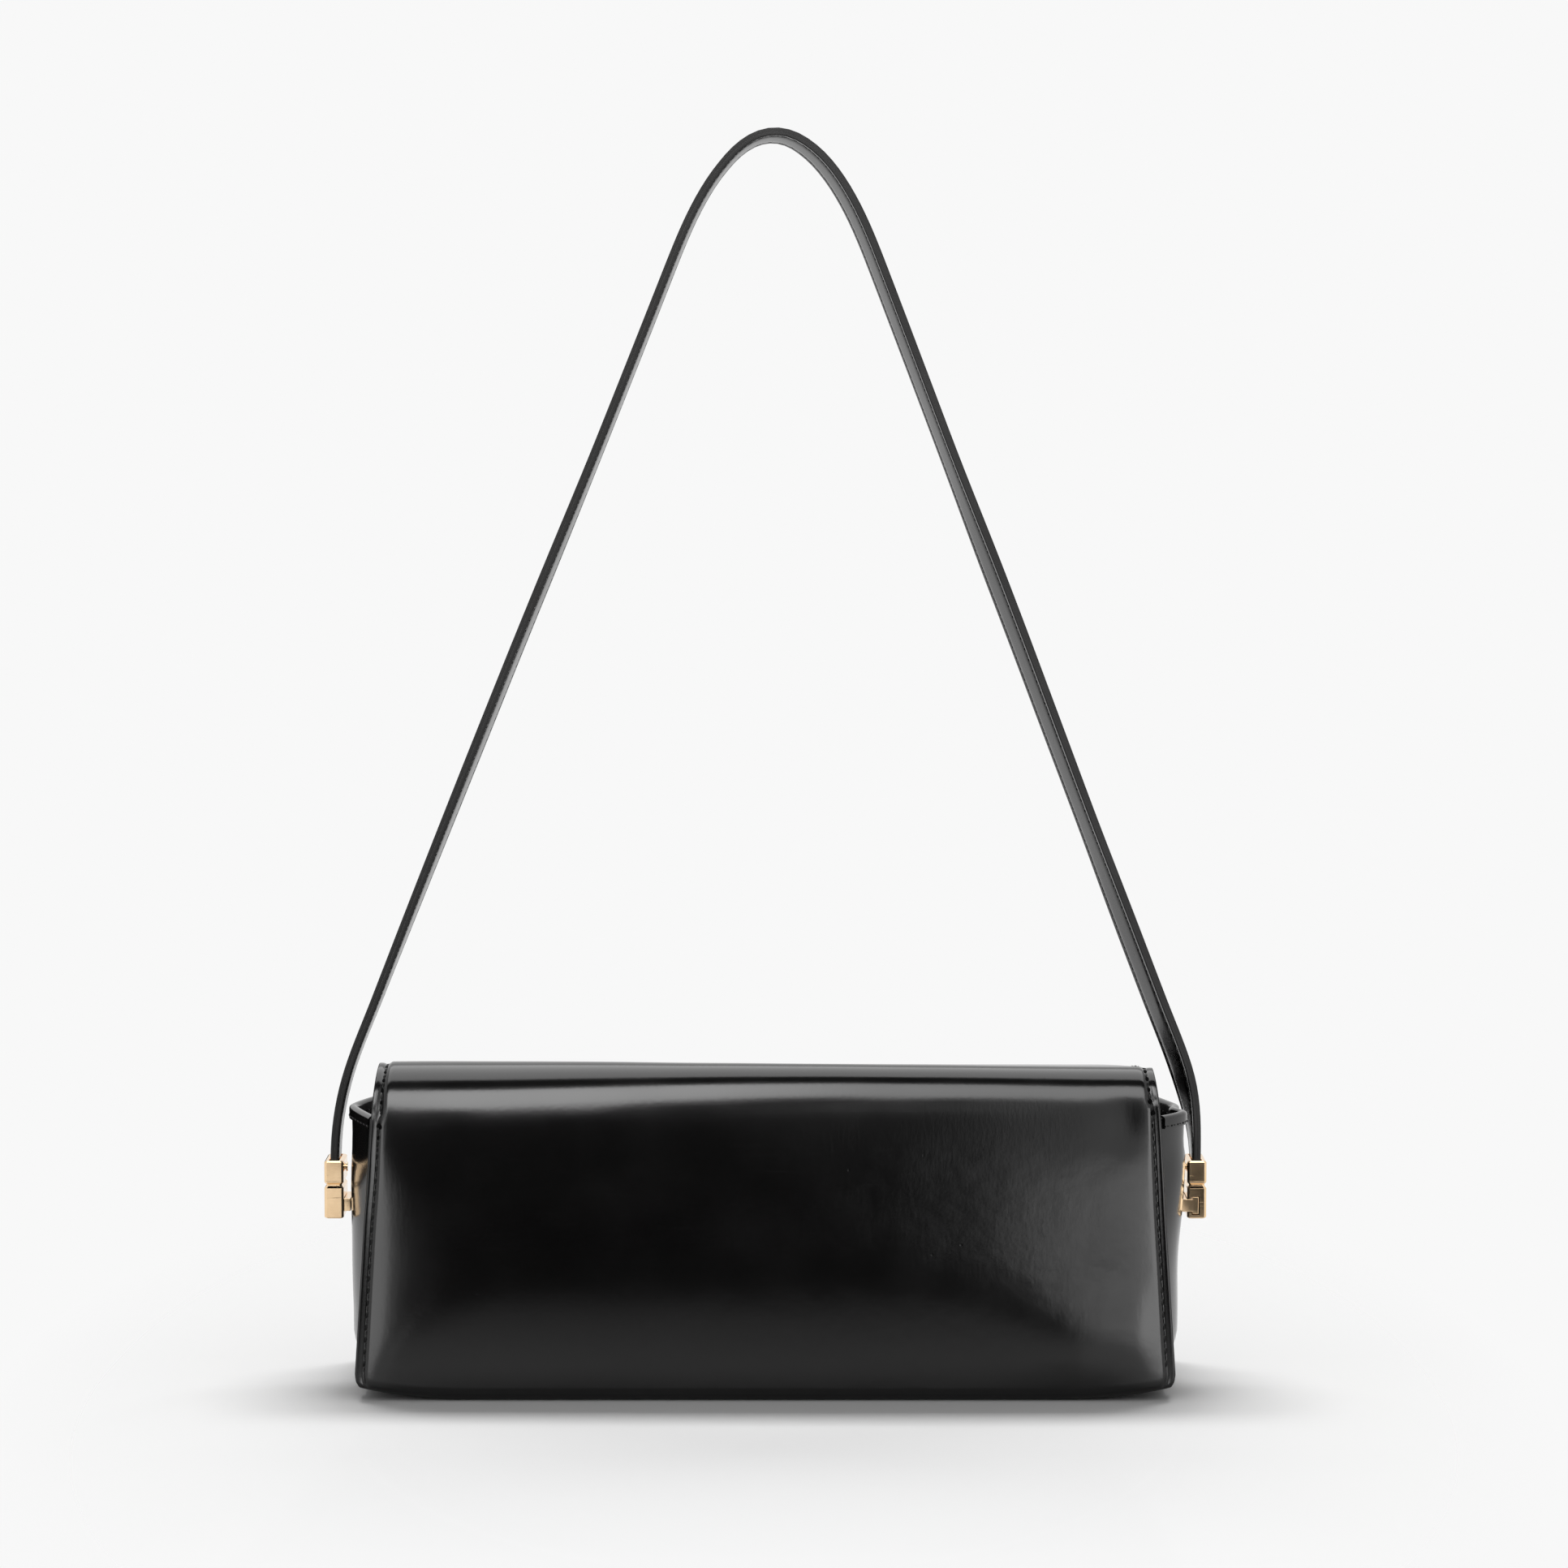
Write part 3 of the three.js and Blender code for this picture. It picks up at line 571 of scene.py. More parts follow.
HAIR_NOISE, HAIR_SPAN = (1.0, 2.0), (0.66, 0.74)
FUZZ_NOISE = (700.0, 4.0)


def grain_group() -> bpy.types.NodeTree:
    """Leather grain: pores, creases, pits and ripples as a height, and patches as a mask.

    Returns:
        The group.
    """
    group, nodes, given, result = new_group(
        "leather_grain", {"Pores": 900.0, "Creases": 0.5, "Pits": 85.0, "Ripples": 0.0}, ("Height", "Patches"))
    at = given["Position"]
    pores = nodes.node("TexVoronoi", {"Vector": at, "Scale": given["Pores"]}, feature="SMOOTH_F1").outputs[0]
    strokes = nodes.noise(nodes.mapped(at, STROKE_SCALE, STROKE_TURN), *STROKE_NOISE)
    patch = nodes.between(nodes.noise(at, *PATCH_NOISE), *PATCH_SPAN)
    creased = nodes.times(nodes.times(strokes, given["Creases"]), nodes.between(patch, *CREASE_SPAN))
    spots = nodes.node("TexVoronoi", {"Vector": at, "Scale": given["Pits"]}).outputs[0]
    pits = nodes.between(spots, *PIT_SPAN)
    waves = nodes.noise(nodes.mapped(at, RIPPLE_SCALE), *RIPPLE_NOISE)
    x, _, z = nodes.split(at)
    shown = nodes.times(nodes.between(x, *RIPPLE_ACROSS), nodes.between(z, *RIPPLE_UP))
    rippled = nodes.times(nodes.times(waves, shown), given["Ripples"])
    marked = nodes.plus(nodes.plus(creased, nodes.times(pores, PORE_DEPTH)), pits)
    nodes.feed(result["Height"], nodes.plus(marked, rippled))
    nodes.feed(result["Patches"], patch)
    return group


def wear_group() -> bpy.types.NodeTree:
    """Handling marks: soft smudges and sparse fine scratches.

    Returns:
        The group.
    """
    group, nodes, given, result = new_group(
        "handling_marks", {"Smudge Size": 30.0, "Scratches": 1.0}, ("Smudges", "Scratches"))
    at = given["Position"]
    cloud = nodes.noise(at, given["Smudge Size"], *CLOUD_DETAIL)
    hair = nodes.noise(nodes.mapped(at, HAIR_SCALE, HAIR_TURN), *HAIR_NOISE)
    nodes.feed(result["Smudges"], nodes.between(cloud, *CLOUD_SPAN))
    nodes.feed(result["Scratches"], nodes.times(nodes.between(hair, *HAIR_SPAN), given["Scratches"]))
    return group


def weave_group() -> bpy.types.NodeTree:
    """A plain weave as a height and a thread mask.

    Returns:
        The group.
    """
    group, nodes, given, result = new_group("plain_weave", {"Threads": 2200.0}, ("Height", "Threads"))
    at = given["Position"]
    scaled = nodes.node("VectorMath", {0: at, "Scale": given["Threads"]}, operation="SCALE").outputs[0]
    x, y, z = nodes.split(scaled)
    crossing = nodes.times(nodes.maths("SINE", x), nodes.maths("SINE", nodes.plus(y, z)))
    nodes.feed(result["Height"], nodes.plus(crossing, nodes.noise(at, *FUZZ_NOISE)))
    nodes.feed(result["Threads"], nodes.between(crossing, -1.0, 1.0))
    return group


class Groups:
    """The shared effects, each built once."""

    def __init__(self) -> None:
        """Builds the groups."""
        self.grain, self.wear, self.weave = grain_group(), wear_group(), weave_group()


def rgba(colour: Colour) -> tuple[float, float, float, float]:
    """A colour with full opacity."""
    return (*colour, 1.0)


class Surface:
    """A new material with a plain shader, and short ways to feed it."""

    def __init__(self, name: str) -> None:
        """Makes the material.

        Args:
            name: the material's name.
        """
        self.material = bpy.data.materials.new(name)
        self.material.use_nodes = True
        self.nodes = NodeSheet(self.material.node_tree)
        self.shader = self.material.node_tree.nodes["Principled BSDF"]
        self.at = self.nodes.node("TexCoord").outputs["Object"]

    def feed(self, node: Node, inputs: dict[str, object]) -> None:
        """Sets or joins a node's inputs, named with underscores for spaces.

        Args:
            node: the node.
            inputs: numbers, colours or sockets.
        """
        for word, value in inputs.items():
            self.nodes.feed(node.inputs[word.replace("_", " ")], value)

    def set(self, **inputs: object) -> None:
        """Sets or joins the shader's inputs."""
        self.feed(self.shader, inputs)

    def effect(self, group: bpy.types.NodeTree, **inputs: float) -> bpy.types.NodeOutputs:
        """Puts a shared effect into the material.

        Args:
            group: the effect.
            inputs: the effect's own values.

        Returns:
            The effect's outputs.
        """
        made = self.nodes.node("Group", node_tree=group)
        self.feed(made, {"Position": self.at, **inputs})
        return made.outputs

    def bump(self, height: Socket, strength: float, depth: float) -> None:
        """Joins a height, as deep as this many metres, to the shader's normal."""
        made = self.nodes.node("Bump", {"Strength": strength, "Distance": depth, "Height": height})
        self.set(Normal=made.outputs[0])


@dataclass(frozen=True)
class Finish:
    """What the finishes share: a colour that handling shifts towards a second one."""

    name: str
    colour: Colour
    second: Colour

    def tint(self, surface: Surface, share: Socket, strength: float) -> None:
        """Gives the surface its colour.

        Args:
            surface: the material.
            share: a mask for the second colour.
            strength: how much of it shows.
        """
        nodes = surface.nodes
        surface.set(Base_Color=nodes.blend(nodes.times(share, strength), rgba(self.colour), rgba(self.second)))


@dataclass(frozen=True)
class LeatherFinish(Finish):
    """Smooth polished leather."""

    roughness: Span
    creases: float
    bump: float
    pores: float = 900.0
    ripples: float = 0.0
    depth: float = 0.00025
    smudge_size: float = 26.0
    smudge_share: float = 0.6
    scratches: float = 0.6
    scratch_rough: float = 0.05

    def make(self, groups: Groups) -> Material:
        """Builds the material.

        Args:
            groups: the shared effects.

        Returns:
            The material.
        """
        surface = Surface(self.name)
        nodes = surface.nodes
        grain = surface.effect(groups.grain, Pores=self.pores, Creases=self.creases, Ripples=self.ripples)
        wear = surface.effect(groups.wear, Smudge_Size=self.smudge_size, Scratches=self.scratches)
        self.tint(surface, wear["Smudges"], self.smudge_share)
        rough = nodes.between(grain["Patches"], 0.0, 1.0, *self.roughness)
        surface.set(Roughness=nodes.plus(rough, nodes.times(wear["Scratches"], self.scratch_rough)))
        surface.bump(grain["Height"], self.bump, self.depth)
        return surface.material


@dataclass(frozen=True)
class MetalFinish(Finish):
    """Polished or brushed metal."""

    roughness: Span
    scratches: float
    bump: float = 0.08
    depth: float = 0.00005
    smudge_size: float = 160.0
    smudge_share: float = 0.5
    scratch_rough: float = 0.1

    def make(self, groups: Groups) -> Material:
        """Builds the material.

        Args:
            groups: the shared effects.

        Returns:
            The material.
        """
        surface = Surface(self.name)
        nodes = surface.nodes
        wear = surface.effect(groups.wear, Smudge_Size=self.smudge_size, Scratches=self.scratches)
        self.tint(surface, wear["Smudges"], self.smudge_share)
        rough = nodes.between(wear["Smudges"], 0.0, 1.0, *self.roughness)
        surface.set(Roughness=nodes.plus(rough, nodes.times(wear["Scratches"], self.scratch_rough)), Metallic=1.0)
        surface.bump(wear["Scratches"], self.bump, self.depth)
        return surface.material


@dataclass(frozen=True)
class ClothFinish(Finish):
    """Woven cloth, or a fibrous board or wadding."""

    roughness: float
    threads: float
    bump: float
    sheen: float = 0.0
    depth: float = 0.0001
    smudge_size: float = 40.0
    smudge_share: float = 0.25

    def make(self, groups: Groups) -> Material:
        """Builds the material.

        Args:
            groups: the shared effects.

        Returns:
            The material.
        """
        surface = Surface(self.name)
        nodes = surface.nodes
        weave = surface.effect(groups.weave, Threads=self.threads)
        wear = surface.effect(groups.wear, Smudge_Size=self.smudge_size, Scratches=0.0)
        woven = nodes.blend(weave["Threads"], rgba(self.colour), rgba(self.second))
        faded = nodes.times(wear["Smudges"], self.smudge_share)
        surface.set(Base_Color=nodes.blend(faded, woven, rgba(self.second)), Roughness=self.roughness,
                    Sheen_Weight=self.sheen)
        surface.bump(weave["Height"], self.bump, self.depth)
        return surface.material


@dataclass(frozen=True)
class PaintFinish(Finish):
    """Matte paint on a cut leather edge, a waxed thread, or the painted shade of a needle hole."""

    roughness: Span
    shine: float
    pores: float = 1500.0
    creases: float = 0.3
    bump: float = 0.12
    depth: float = 0.0001
    smudge_size: float = 120.0
    smudge_share: float = 0.7

    def make(self, groups: Groups) -> Material:
        """Builds the material.

        Args:
            groups: the shared effects.

        Returns:
            The material.
        """
        surface = Surface(self.name)
        grain = surface.effect(groups.grain, Pores=self.pores, Creases=self.creases)
        wear = surface.effect(groups.wear, Smudge_Size=self.smudge_size, Scratches=1.0)
        self.tint(surface, wear["Smudges"], self.smudge_share)
        rough = surface.nodes.between(grain["Patches"], 0.0, 1.0, *self.roughness)
        surface.set(Roughness=rough, Specular_IOR_Level=self.shine)
        surface.bump(grain["Height"], self.bump, self.depth)
        return surface.material


class Finishes:
    """Every material of the bag."""

    def __init__(self) -> None:
        """Builds the materials."""
        black, dusty = (0.0022, 0.0021, 0.0022), (0.0042, 0.0039, 0.0039)
        groups = Groups()
        (self.leather, self.strap, self.suede, self.edge, self.thread, self.hole, self.gold, self.steel, self.cloth,
         self.board, self.wadding) = (finish.make(groups) for finish in (
             LeatherFinish("polished_leather", black, dusty, (0.165, 0.195), 0.8, 0.1, ripples=3.4),
             LeatherFinish("strap_leather", black, dusty, (0.2, 0.24), 0.3, 0.07, 1200.0),
             LeatherFinish("flesh_side", (0.012, 0.011, 0.011), (0.02, 0.018, 0.018), (0.7, 0.82), 0.8, 0.35, 1600.0),
             PaintFinish("edge_paint", (0.007, 0.0066, 0.0066), (0.011, 0.0104, 0.0104), (0.5, 0.6), 0.3),
             PaintFinish("waxed_thread", (0.003, 0.003, 0.003), (0.005, 0.0048, 0.0048), (0.3, 0.4), 0.18),
             # The needle holes' near-black, matte colour is painted shade for the hollow of each hole.
             PaintFinish("needle_hole_painted_shade", (0.0012, 0.0012, 0.0012), (0.002, 0.002, 0.002), (0.8, 0.9), 0.05),
             MetalFinish("pale_gold", (0.9, 0.66, 0.41), (0.84, 0.58, 0.34), (0.07, 0.1), 0.4),
             MetalFinish("plain_steel", (0.62, 0.63, 0.64), (0.5, 0.51, 0.52), (0.28, 0.4), 1.0),
             ClothFinish("lining_cloth", (0.028, 0.025, 0.026), (0.05, 0.045, 0.046), 0.85, 2600.0, 0.5, 0.2),
             ClothFinish("fibre_board", (0.28, 0.21, 0.14), (0.34, 0.27, 0.19), 0.9, 900.0, 0.3),
             ClothFinish("wadding", (0.62, 0.6, 0.56), (0.7, 0.68, 0.64), 0.95, 500.0, 0.8, 0.3)))
        self.skin = [self.leather, self.edge, self.suede]
        self.sewing = [self.thread, self.hole]


# The bag's form


def ramp(value: Numbers, start: float, run: float) -> Array:
    """A smooth step from 0 to 1 that begins at a start and takes a run."""
    return soft_step((value - start) / run)


EDGE_STEPS = np.array([0, 0.5, 1, 1.5, 2, 2.4, 2.8, 3.3, 4, 5, 6.3, 8, 10, 12.5, 16, 20.0])
INNER_COLUMNS = 20
EDGE_TURNS = np.radians(np.linspace(0, 90, 9))


@dataclass(frozen=True)
class BagForm:
    """Outside form of the bag, in millimetres, that every leather piece follows."""

    base_half_width: float
    mouth_half_width: float = 125.75
    base_half_depth: float = 35.0
    mouth_half_depth: float = 31.0
    mouth_height: float = 89.4
    base_radius: float = 10.0
    edge_radius: float = 2.4
    fold_radius: float = 14.0
    fold_height: float = 91.9
    corner_lift: float = 4.2
    corner_run: float = 35.0
    corner_cut: float = 1.6
    corner_rise: float = 5.0
    leather: float = 1.3
    margin: float = 2.4
    margin_gap: float = 0.4
    margin_step: float = 0.3
    margin_run: float = 1.6
    groove: float = 0.55
    groove_half: float = 0.85
    rim: float = 0.35
    split_y: float = -25.0
    to_right: Span = (-60, 120)
    # Each pair is the plain value, and what is added to it at the right.
    seam_run: Span = (4.5, 1.5)
    seam_full: Span = (1.7, -0.4)
    broad_full: Span = (2.6, 0.6)
    broad_run: Span = (70, 50)
    belly_run: float = 2.0
    belly_height: float = 42.0
    belly_spread: float = 18.0
    back_blur: float = 0.7
    back_low: Span = (9.0, 46)
    back_fall: float = 38.9
    back_sink: float = 0.19
    full_back: float = 3.5
    back_wave: float = 0.04
    calm_top: Span = (58, 25)
    swell_run: float = 8.0
    front_run: Span = (5, 60)
    front_full: Span = (0.8, 1.6)
    front_low: Span = (7, 32)
    front_high: float = 38.0
    front_wave: float = 0.08
    front_shift: float = 40.0
    swelling: Hump = Hump(0.9, (106, 19), (22, 13))
    dents: tuple[Hump, ...] = (
        Hump(0.9, (114, 86.5), (6, 6.5)), Hump(0.22, (-101, 81), (9, 6)), Hump(0.15, (-70, 84), (12, 5)))

    @property
    def edge_middle(self) -> float:
        """How far from the middle the round of the base's long edges starts."""
        return self.half_depth(self.edge_radius) - self.edge_radius

    @property
    def seam_column(self) -> int:
        """The column that the side stitches follow."""
        return int(np.argmin(np.abs(EDGE_STEPS - self.margin)))

    def half_width(self, z: Numbers) -> Array:
        """Half the panel's width.

        Args:
            z: height.

        Returns:
            Half the width there, with the base's corners cut a little.
        """
        share = np.clip(np.asarray(z, float) / self.mouth_height, 0, 1)
        cut = self.corner_cut * np.clip(1 - np.asarray(z, float) / self.corner_rise, 0, 1) ** 2
        return self.base_half_width + (self.mouth_half_width - self.base_half_width) * share - cut

    def half_depth(self, z: Numbers) -> Array:
        """Half the depth at the seams at a height."""
        share = np.asarray(z, float) / self.mouth_height
        return self.base_half_depth + (self.mouth_half_depth - self.base_half_depth) * share

    def inside_depth(self, z: float, inset: float) -> float:
        """Half the depth below the leather.

        Args:
            z: height.
            inset: distance below the outer face.

        Returns:
            Half the depth there, round the base edge too.
        """
        if z >= self.base_radius:
            return self.half_depth(z) - inset
        radius = self.base_radius - inset
        rise = min(self.base_radius - z, radius)
        return self.half_depth(self.base_radius) - self.base_radius + math.sqrt(radius**2 - rise**2)

    def columns(self, half_width: float) -> Array:
        """Places across the bag that keep their distance from the edges.

        Args:
            half_width: half the leather's width here.

        Returns:
            The places, from left to right.
        """
        near, spread = half_width - self.rim, self.mouth_half_width
        inner = np.linspace(EDGE_STEPS[-1], spread, INNER_COLUMNS)[1:-1]
        scale = (near - EDGE_STEPS[-1]) / (spread - EDGE_STEPS[-1])
        right = np.concatenate([near - EDGE_STEPS, (spread - inner) * scale])
        return np.concatenate([-right, [0.0], right[::-1]])

    def settled(self, grid: Array) -> Array:
        """The points with the base's ends lifted a little off the table.

        Args:
            grid: points.

        Returns:
            The lifted points.
        """
        run = np.clip((np.abs(grid[..., 0]) - (self.base_half_width - self.corner_run)) / self.corner_run, 0, 1)
        share = 1 - np.clip(grid[..., 2] / self.fold_height, 0, 1)
        lifted = grid.copy()
        lifted[..., 2] += self.corner_lift * run**2 * share
        return lifted

    def margin_dip(self, from_edge: Array) -> Array:
        """How far the sewn margin lies below the panel, at distances from the cut edge."""
        groove = self.groove * bell((from_edge - self.margin) / self.groove_half)
        return groove + self.margin_step * (1 - ramp(from_edge, self.margin, self.margin_run))

    def from_seams(self, x: Array, z: Array) -> tuple[Array, Array]:
        """Distances at places across and up: from the cut edge, and from the sewn margin inwards."""
        from_edge = self.half_width(z) - np.abs(x)
        return from_edge, np.maximum(from_edge - self.margin - self.margin_gap, 0)

    def back_puff(self, x: Array, z: Array) -> Array:
        """How far the padded back stands out of its seams.

        Args:
            x: places across.
            z: heights.

        Returns:
            The rise, below zero at the margin.
        """
        from_edge, inside = self.from_seams(x, z)
        right = ramp(x, *self.to_right)
        seam_run, seam_full, broad_full, broad_run = (
            plain + more * right for plain, more in (self.seam_run, self.seam_full, self.broad_full, self.broad_run))
        belly = self.belly_run * bell((z - self.belly_height) / self.belly_spread)
        quick = 1 - np.exp(-inside / (seam_run + belly))
        across = seam_full * quick + broad_full * ease(inside / broad_run)
        upward = self.full_back * ease(np.hypot(z, self.back_low[0]) / self.back_low[1])
        fall = np.clip((z - self.belly_height) / (self.fold_height - self.back_fall), 0, 1) ** 2
        rise = soft_min(across, upward, self.back_blur) * (1 - fall) - self.back_sink * fall
        rise = rise + self.swelling.rise(x, z) * ramp(inside, 0, self.swell_run)
        rise = rise - sum(dent.rise(x, z) for dent in self.dents)
        rise = rise + self.back_wave * unevenness(x, z) * quick * (1 - ramp(z, *self.calm_top))
        return rise - self.margin_dip(from_edge)

    def front_puff(self, x: Array, z: Array) -> Array:
        """How far the padded front stands out of its seams.

        Args:
            x: places across.
            z: heights.

        Returns:
            The rise, below zero at the margin.
        """
        from_edge, inside = self.from_seams(x, z)
        quick, broad = 1 - np.exp(-inside / self.front_run[0]), ease(inside / self.front_run[1])
        low = ease((z - self.front_low[0]) / self.front_low[1])
        high = ease((self.mouth_height - z) / self.front_high)
        rise = (self.front_full[0] * quick + self.front_full[1] * broad) * low * high
        wave = self.front_wave * unevenness(x + self.front_shift, z) * quick
        return rise + wave - self.margin_dip(from_edge)


class BagPart:
    """A sub-assembly whose pieces all ride on the bag's body."""

    def dress(self, made: Sequence[Made]) -> None:
        """Puts the pieces on the bag's body."""
        place(made, Body.BAG)


class Row(NamedTuple):
    """A row of the leather: its place along the depth, its height, its half width and its zone."""

    y: float
    z: float
    half_width: float
    zone: Zone


@dataclass
class BackAndFlap:
    """The leather that rises up the back, folds over the top and closes the front, with its lining."""

    form: BagForm
    finishes: Finishes
    strap_inside: Callable[[Array], Array]
    hinge: Array
    slope: float = 8.5
    bend_radius: float = 10.0
    fold_from: float = 17.0
    panel_over: float = 2.6
    thickness: float = 3.8
    clearance: float = 0.6
    puff: float = 2.5
    puff_run: float = 40.0
    puff_end: float = 6.0
    puff_low: float = 10.0
    side_in: float = 0.2
    width_over: float = 0.4
    edge_height: float = 46.0
    corner: float = 10.0
    corner_turn: float = 84.0
    strap_half: float = 7.0
    strap_clear: float = 1.6
    taper_start: float = -4.0
    top_narrower: float = 1.6
    fuller_left: float = 0.26
    left_run: Span = (10, 110)
    tighter_right: float = 0.2
    right_run: Span = (-70, 110)
    right_ease: float = 0.3
    right_end: Span = (70, 40)
    below_fold: Span = (15, 38)
    beyond_fold: Span = (15, 30)
    crown: float = 0.7
    crown_length: float = 80.0
    crown_tilt: float = 0.5
    crown_half: float = 125.0
    crown_sink: float = 0.5
    crown_up: Span = (88, 14)
    crown_back: Span = (-30, 40)
    fold_blur: float = 7.0
    fold_passes: int = 40
    width_passes: int = 14
    wave: float = 0.04
    wave_stretch: float = 1.3
    wave_shift: float = 30.0
    lining: float = 0.7
    lining_rim: float = 0.2
    edge_inset: float = 1.42
    more_inset: float = 1.68
    inset_run: Span = (2.2, 5)
    core: float = 1.2
    core_gap: float = 0.35
    bend_reach: float = 14.0
    bend_tilt: float = 20.0
    first_stitch: int = 13
    bar_out: float = 1.3
    stitches: StitchRow = StitchRow()

    def __post_init__(self) -> None:
        """Works out the middles of the fold and of the front bend."""
        form = self.form
        self.fold_y = -form.half_depth(form.fold_height) + form.fold_radius
        fall = math.radians(self.slope)
        top_y = self.fold_y + form.fold_radius * math.sin(fall)
        top_z = form.fold_height + form.fold_radius * math.cos(fall)
        bend_z = form.mouth_height
        for _ in range(4):
            bend_y = self.front_face(0.0, bend_z) - self.bend_radius
            along = bend_y + self.bend_radius * math.sin(fall) - top_y
            bend_z = top_z - along * math.tan(fall) - self.bend_radius * math.cos(fall)
        self.bend = (bend_y, bend_z)

    def front_face(self, x: Numbers, z: Numbers) -> Array:
        """How far forward the flap's outer face hangs.

        Args:
            x: places across.
            z: heights.

        Returns:
            The places along the bag's depth.
        """
        form, run = self.form, self.puff_run
        from_edge = np.maximum(form.half_width(z) - np.abs(x), 0)
        rise = self.puff * ease((from_edge - self.puff_end) / run) * ease((z - self.puff_low) / run)
        rise = rise * ease((form.mouth_height - z) / run)
        return form.half_depth(z) + rise + self.clearance + self.thickness

    def half_width(self, y: float, z: float) -> float:
        """Half the flap's width.

        Args:
            y: place along the depth.
            z: height.

        Returns:
            Half the width, narrow enough to lift between the strap's runs.
        """
        form = self.form
        rise = np.clip((z - form.mouth_height) / (form.fold_height + form.fold_radius - form.mouth_height), 0, 1)
        full = form.mouth_half_width - self.side_in - self.top_narrower * rise**2
        reach = math.hypot(y - self.hinge[1], z - self.hinge[2])
        back = -self.strap_half - self.hinge[1]
        if y < self.taper_start or reach < back:
            return full
        crossing = self.hinge[2] + math.sqrt(reach**2 - back**2)
        return min(full, self.strap_inside(crossing) - self.strap_clear)

    def row(self, place: Span, zone: Zone) -> Row:
        """A row of the flap at a place along the depth and up."""
        return Row(*place, self.half_width(*place), zone)

    def section(self) -> tuple[list[Row], int]:
        """Rows of the leather from under the base over the top to the front edge.

        Returns:
            The rows, and the number of rows before the fold.
        """
        form = self.form
        radius, middle = form.edge_radius, form.edge_middle
        low = [(y, 0.0) for y in np.linspace(form.split_y, -middle, 4)[:-1]]
        for angle in EDGE_TURNS[::-1]:
            low.append((-(middle + radius * math.cos(angle)), radius * (1 - math.sin(angle))))
        rows = [Row(y, z, form.half_width(z), Zone.BASE) for y, z in low]
        for z in np.linspace(radius, form.fold_height + self.panel_over, 45)[1:]:
            rows.append(Row(-form.half_depth(z), z, form.half_width(z), Zone.PANEL))
        before_fold = len(rows)
        for angle in np.radians(np.linspace(self.fold_from, 90 + self.slope, 19)):
            place = (self.fold_y - form.fold_radius * math.cos(angle),
                     form.fold_height + form.fold_radius * math.sin(angle))
            rows.append(self.row(place, Zone.FOLD))
        start = rows[-1]
        bends = [(self.bend[0] + self.bend_radius * math.cos(angle), self.bend[1] + self.bend_radius * math.sin(angle))
                 for angle in np.radians(np.linspace(90 - self.slope, 0, 10))]
        end_y, end_z = bends[0]
        top = [(start.y + (end_y - start.y) * share, start.z + (end_z - start.z) * share)
               for share in np.arange(1, 12) / 12]
        rows += [self.row(place, Zone.TOP) for place in top + bends]
        corner_top = self.edge_height + self.corner
        for z in np.linspace(self.bend[1], corner_top, 18)[1:]:
            rows.append(self.row((self.front_face(0, z), z), Zone.HANG))
        for turn in np.radians(np.linspace(0, self.corner_turn, 9))[1:]:
            z = corner_top - self.corner * math.sin(turn)
            row = self.row((self.front_face(0, z), z), Zone.HANG)
            rows.append(row._replace(half_width=row.half_width - self.corner * (1 - math.cos(turn))))
        return rows, before_fold

    def line(self, row: Row, width: float) -> Array:
        """Points of one row.

        Args:
            row: the row.
            width: its eased half width.

        Returns:
            The points from left to right.
        """
        form = self.form
        x = form.columns(width)
        heights = np.full_like(x, row.z)
        if row.zone in (Zone.BASE, Zone.PANEL):
            share = 1.0 if row.zone is Zone.PANEL else soft_step(row.z / form.edge_radius)
            return row_of(x, row.y - form.back_puff(x, heights) * share, heights)
        if row.zone is Zone.HANG:
            return row_of(x, self.front_face(x, heights) - form.margin_dip(width - np.abs(x)), heights)
        return row_of(x, row.y, heights)

    def outer_face(self) -> tuple[Array, int]:
        """The outer face of the leather.

        Returns:
            Its points, columns first, and the number of rows before the fold.
        """
        form = self.form
        rows, before_fold = self.section()
        order = np.arange(len(rows))
        widths = np.array([row.half_width for row in rows])
        on_flap = (order >= before_fold - 4).astype(float)
        eased = smoothed(widths[:, None], 0, self.width_passes, on_flap)[:, 0]
        lines = [self.line(row, width) for row, width in zip(rows, np.minimum(eased, widths + self.width_over))]
        grid = smoothed(np.stack(lines, 1), 1, self.fold_passes, bell((order - before_fold) / self.fold_blur))
        past = np.array([row.zone in (Zone.FOLD, Zone.TOP) for row in rows])
        dip = form.margin_dip(widths - form.rim - np.abs(grid[..., 0])) * past
        wave = self.wave * unevenness(grid[..., 0], grid[..., 1] * self.wave_stretch + self.wave_shift) * past
        grid = self.rounded(grid + grid_normals(grid) * (wave - dip)[..., None])
        x, y, z = np.moveaxis(grid, -1, 0)
        crown = self.crown * np.cos(x / self.crown_length) - self.crown_tilt * x / self.crown_half - self.crown_sink
        grid[..., 2] += crown * (ramp(z, *self.crown_up) * ramp(-y, *self.crown_back))
        return form.settled(grid), before_fold

    def rounded(self, grid: Array) -> Array:
        """The leather with a fuller fold at the left and a tighter one at the right.

        Args:
            grid: points of the outer face.

        Returns:
            The points, moved near the fold.
        """
        form, x = self.form, grid[..., 0]
        deep = np.maximum(grid[..., 1] + form.half_depth(form.fold_height), 0)
        down = np.maximum(form.fold_height + form.fold_radius - grid[..., 2], 0)
        fuller = self.fuller_left * ramp(-x, *self.left_run) - self.tighter_right * ramp(x, *self.right_run)
        fuller = fuller + self.right_ease * self.tighter_right * ramp(x, *self.right_end)
        near = (1 - ramp(down, *self.below_fold)) * (1 - ramp(deep, *self.beyond_fold))
        moved = grid.copy()
        moved[..., 1] += deep * fuller * near
        moved[..., 2] -= down * fuller * near
        return moved

